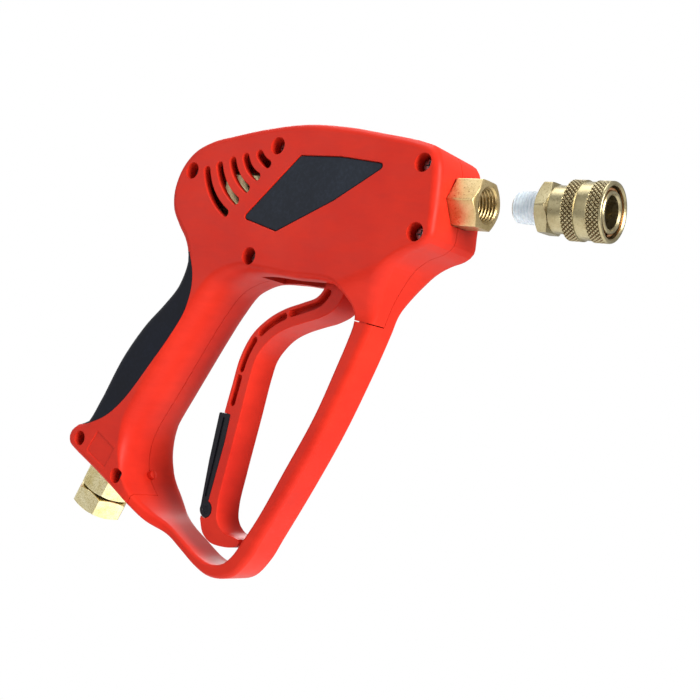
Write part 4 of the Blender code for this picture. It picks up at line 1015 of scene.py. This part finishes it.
def build_coupler():
    tip = (COUPLER_X, 0.0, 0.0)
    body, lens = hexagon("coupler_hex", HEX_COUPLER, 10.9, 16.1, (True, True), COUPLER_PHASE, tip, FORWARD)
    core = [(0, 0), (4.9, 0), (5.2, 0.4), (5.6, 10.9), (6.4, 13), (8.3, 13.4), (8.6, 13.7), (8.6, 21.2)]
    core += [(8.45, 21.5), (8.45, 23.6), (7.6, 23.6), (7.6, 35.2), (7.0, 35.2), (7.0, 36.2), (7.6, 36.2)]
    core += [(7.6, 36.6), (7.2, 37.0), (0, 37.0)]
    way = [(0, -5), (3, -5), (3, 21.1), (4.2, 22.2), (5.2, 23.6), (5.9, 23.6), (5.9, 25.0), (6.9, 25.0)]
    way += [(6.9, 26.8), (5.9, 26.8), (5.9, 36.3), (6.9, 37.5), (6.9, 45), (0, 45)]
    core = revolved("core", core, tip, FORWARD, 96)
    tools = [revolved("way", way, tip, FORWARD, 96)]
    at = Vector((COUPLER_X + 30.0, 0.0, 0.0))
    for out in BALL_OUT:
        tools.append(rod("ball_hole", BALL_RADIUS + 0.25, at + out * 3.0, at + out * 12.0, 24))
    carved(body, [("keep", lens), ("join", core), *cuts(*tools)])
    finished(body, BRASS_COUPLER, "coupler", "brass", "coupler_body")

    for number, out in enumerate(BALL_OUT, 1):
        bm = bmesh.new()
        bmesh.ops.create_icosphere(bm, subdivisions=3, radius=BALL_RADIUS * MM)
        bm.transform(Matrix.Translation(place(*(at + out * BALL_CIRCLE))))
        ball = from_bmesh(f"locking_ball_{number}", bm)
        finished(ball, STEEL, f"coupler_ball_{number}", "steel", f"coupler_ball_{number}")

    outside = [(10.1, 22.2), (10.5, 22.25)]
    outside += band(*KNURLED[0], 10.85, 0.15)
    outside += [(10.4, 27.1), (10.3, 27.4), (10.3, 31.2), (10.4, 31.5)]
    outside += band(*KNURLED[1], 10.85, 0.15)
    outside += [(10.8, 36.9), (10.6, 37.3), (10.35, 37.5)]
    inside = [(9.75, 37.5), (9.5, 37.2), (9.2, 36.9), (9.4, 36.7), (9.4, 31.2), (8.9, 30.9), (8.9, 28.3)]
    inside += [(8.0, 28.3), (8.0, 27.8), (9.4, 27.8), (9.4, 24.0), (8.9, 23.6), (8.9, 22.2)]
    sleeve = revolved("coupler_knurled_sleeve", outside + inside, tip, FORWARD, 520, knurl, 40.0)
    finished(sleeve, BRASS_COUPLER, "coupler_sleeve", "brass", "coupler_sleeve")

    def coated(radius, along, angle):
        if radius < 5.5:
            return radius, 0.0
        ridge = thread_height(along, angle, PIPE_PITCH)
        lump = noise.noise(Vector((math.cos(angle) * 2.2, math.sin(angle) * 2.2, along * 0.8)))
        # The second value is painted shade in the thread's valleys under the sealant.
        return radius - 0.16 * (1.0 - ridge) + 0.1 * lump, 0.35 * (1.0 - ridge)

    cone = [(4.95, 0.45), (5.5, 0.5), (5.7, 0.75)]
    cone += [(5.8 + 0.55 * k / 62, 0.9 + 9.4 * k / 62) for k in range(63)]
    cone += [(6.0, 10.6), (5.4, 10.6)]
    coat = revolved("sealant_on_thread", cone, tip, FORWARD, 96, coated)
    finished(coat, SEALANT, "coupler", "thread_sealant", "thread_sealant")

    snap = revolved("coupler_snap_ring", oval(8.0, 35.7, 0.62, 0.3, 12), tip, FORWARD, 96)
    carved(snap, cuts(block("snap_gap", (45, -1, -12), (52, 1, 0))))
    finished(snap, COPPER, "coupler", "copper_ring", "coupler_retaining_ring")
    seal = revolved("coupler_seal", oval(5.9, 25.9, 0.7, 0.7, 14), tip, FORWARD, 72)
    finished(seal, SEAL, "coupler", "seal_rubber", "coupler_o_ring")


# ---- springs ----
def coil_wire(name, radius, wire, turns, length, start):
    """One wire wound round the outlet's direction."""
    matrix = frame_to(start, FORWARD)
    per_turn, sides = 36, 12
    count = round(turns * per_turn)
    bm = bmesh.new()
    rings = []
    for k in range(count + 1):
        angle = 2 * math.pi * k / per_turn
        middle = wire / 2 + (length - wire) * k / count
        ring = []
        for out, along in oval(radius, middle, wire / 2, wire / 2, sides):
            local = Vector((out * math.cos(angle), out * math.sin(angle), along)) * MM
            ring.append(bm.verts.new(matrix @ local))
        rings.append(ring)
    for first, second in zip(rings, rings[1:]):
        for j in range(sides):
            bm.faces.new((first[j - 1], first[j], second[j], second[j - 1]))
    bm.faces.new(rings[0])
    bm.faces.new(rings[-1])
    return from_bmesh(name, bm)


def build_springs():
    """The return springs behind the valve's ball and the coupler's sleeve, built as wire coils."""
    behind_ball = (-126.8, 0.0, VALVE_Z)
    valve = coil_wire("valve_return_spring", 2.7, 0.9, 4.0, 8.6, behind_ball)
    finished(valve, STEEL, "gun", "steel", "valve_spring")
    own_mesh(valve)
    shoulder = (COUPLER_X + 24.0, 0.0, 0.0)
    sleeve = coil_wire("sleeve_return_spring", 8.5, 0.6, 1.7, 3.5, shoulder)
    finished(sleeve, STEEL, "coupler", "steel", "coupler_spring")
    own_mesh(sleeve)


# ---- carried-over CAD nodes ----
INNER_LOOKS = (
    # Painted shade: the brass parts inside the casing take the darker coupler brass, because the inside
    # lies in shade.
    (BRASS_COUPLER, ("valve_body", "valve_rear_cap", "gland_nut")),
    (STEEL, ("valve_seat", "valve_ball", "push_pin", "outlet_tube", "inlet_tube")),
    (STEEL, ("swivel_retaining_ring", "trigger_pivot_pin", "trigger_lock_pin")),
    (SEAL, ("push_pin_o_ring", "swivel_o_ring")),
)


def dress_inner_nodes():
    for look, names in INNER_LOOKS:
        for name in names:
            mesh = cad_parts[name].data
            mesh.materials.clear()
            mesh.materials.append(look)


# ---- stage ----
def area_light(name, position, size, power, colour=WHITE):
    """A rectangular lamp aimed at the gun's head."""
    lamp = bpy.data.lights.new(name, "AREA")
    lamp.shape = "RECTANGLE"
    lamp.size, lamp.size_y = size
    lamp.energy = power
    lamp.color = colour
    thing = bpy.data.objects.new(name, lamp)
    thing.location = position
    aim = Vector((0.06, 0.0, 0.01)) - Vector(position)
    thing.rotation_euler = aim.to_track_quat("-Z", "Y").to_euler()
    bpy.context.scene.collection.objects.link(thing)


def build_stage():
    bm = bmesh.new()
    bmesh.ops.create_circle(bm, cap_ends=True, segments=96, radius=0.9)
    bm.transform(Matrix.Translation((0.0, 0.0, -0.55)))
    floor = from_bmesh("floor", bm)
    look = Look("floor_white", 0.8, Emission_Color=(*WHITE, 1.0), Emission_Strength=0.45)
    pale = look.noise(3.0, 2.0)
    look.colour(look.ramp(pale, [(0.3, (0.86, 0.86, 0.86)), (0.7, (0.90, 0.90, 0.90))]))
    floor.data.materials.append(look.material)

    world = bpy.data.worlds.new("studio")
    world.use_nodes = True
    nodes, links = world.node_tree.nodes, world.node_tree.links
    background = nodes["Background"]
    path = nodes.new("ShaderNodeLightPath")
    strength = 0.26
    for rays, seen in (("Is Glossy Ray", 0.55), ("Is Camera Ray", 1.0)):
        mix = nodes.new("ShaderNodeMix")
        mix.data_type = "FLOAT"
        if isinstance(strength, float):
            mix.inputs["A"].default_value = strength
        else:
            links.new(strength, mix.inputs["A"])
        mix.inputs["B"].default_value = seen
        links.new(path.outputs[rays], mix.inputs["Factor"])
        strength = mix.outputs["Result"]
    links.new(strength, background.inputs["Strength"])
    background.inputs["Color"].default_value = (*WHITE, 1.0)
    bpy.context.scene.world = world

    area_light("key", (1.31, -0.30, 0.42), (0.6, 0.8), 28.0, (1.0, 0.965, 0.92))
    area_light("top", (-0.10, -0.10, 1.10), (0.9, 0.7), 8.0)
    area_light("left_fill", (-0.75, -0.95, 0.25), (0.6, 0.8), 3.2)
    area_light("rim", (-0.70, 0.80, 0.45), (0.5, 0.9), 6.0)
    bpy.context.scene.view_settings.view_transform = "Standard"

    right = Vector((0.7865, 0.5887, 0.1867)).normalized()
    up = right.cross(Vector((-0.6045, 0.7958, 0.0374))).normalized()
    forward = up.cross(right)
    camera = bpy.data.cameras.new("camera")
    camera.lens = 56.57
    camera.clip_start = 0.02
    eye = bpy.data.objects.new("camera", camera)
    turn = Matrix((right, up, -forward)).transposed().to_4x4()
    eye.matrix_world = Matrix.Translation((0.3648, -0.3484, 0.0024)) @ turn
    bpy.context.scene.collection.objects.link(eye)
    bpy.context.scene.camera = eye


build_casing()
build_gate_mark()
build_screws()
build_trigger()
build_lock()
build_outlet()
build_inlet()
build_coupler()
build_springs()
dress_inner_nodes()
build_stage()
for spent_tool in SPENT.values():
    bpy.data.objects.remove(spent_tool)
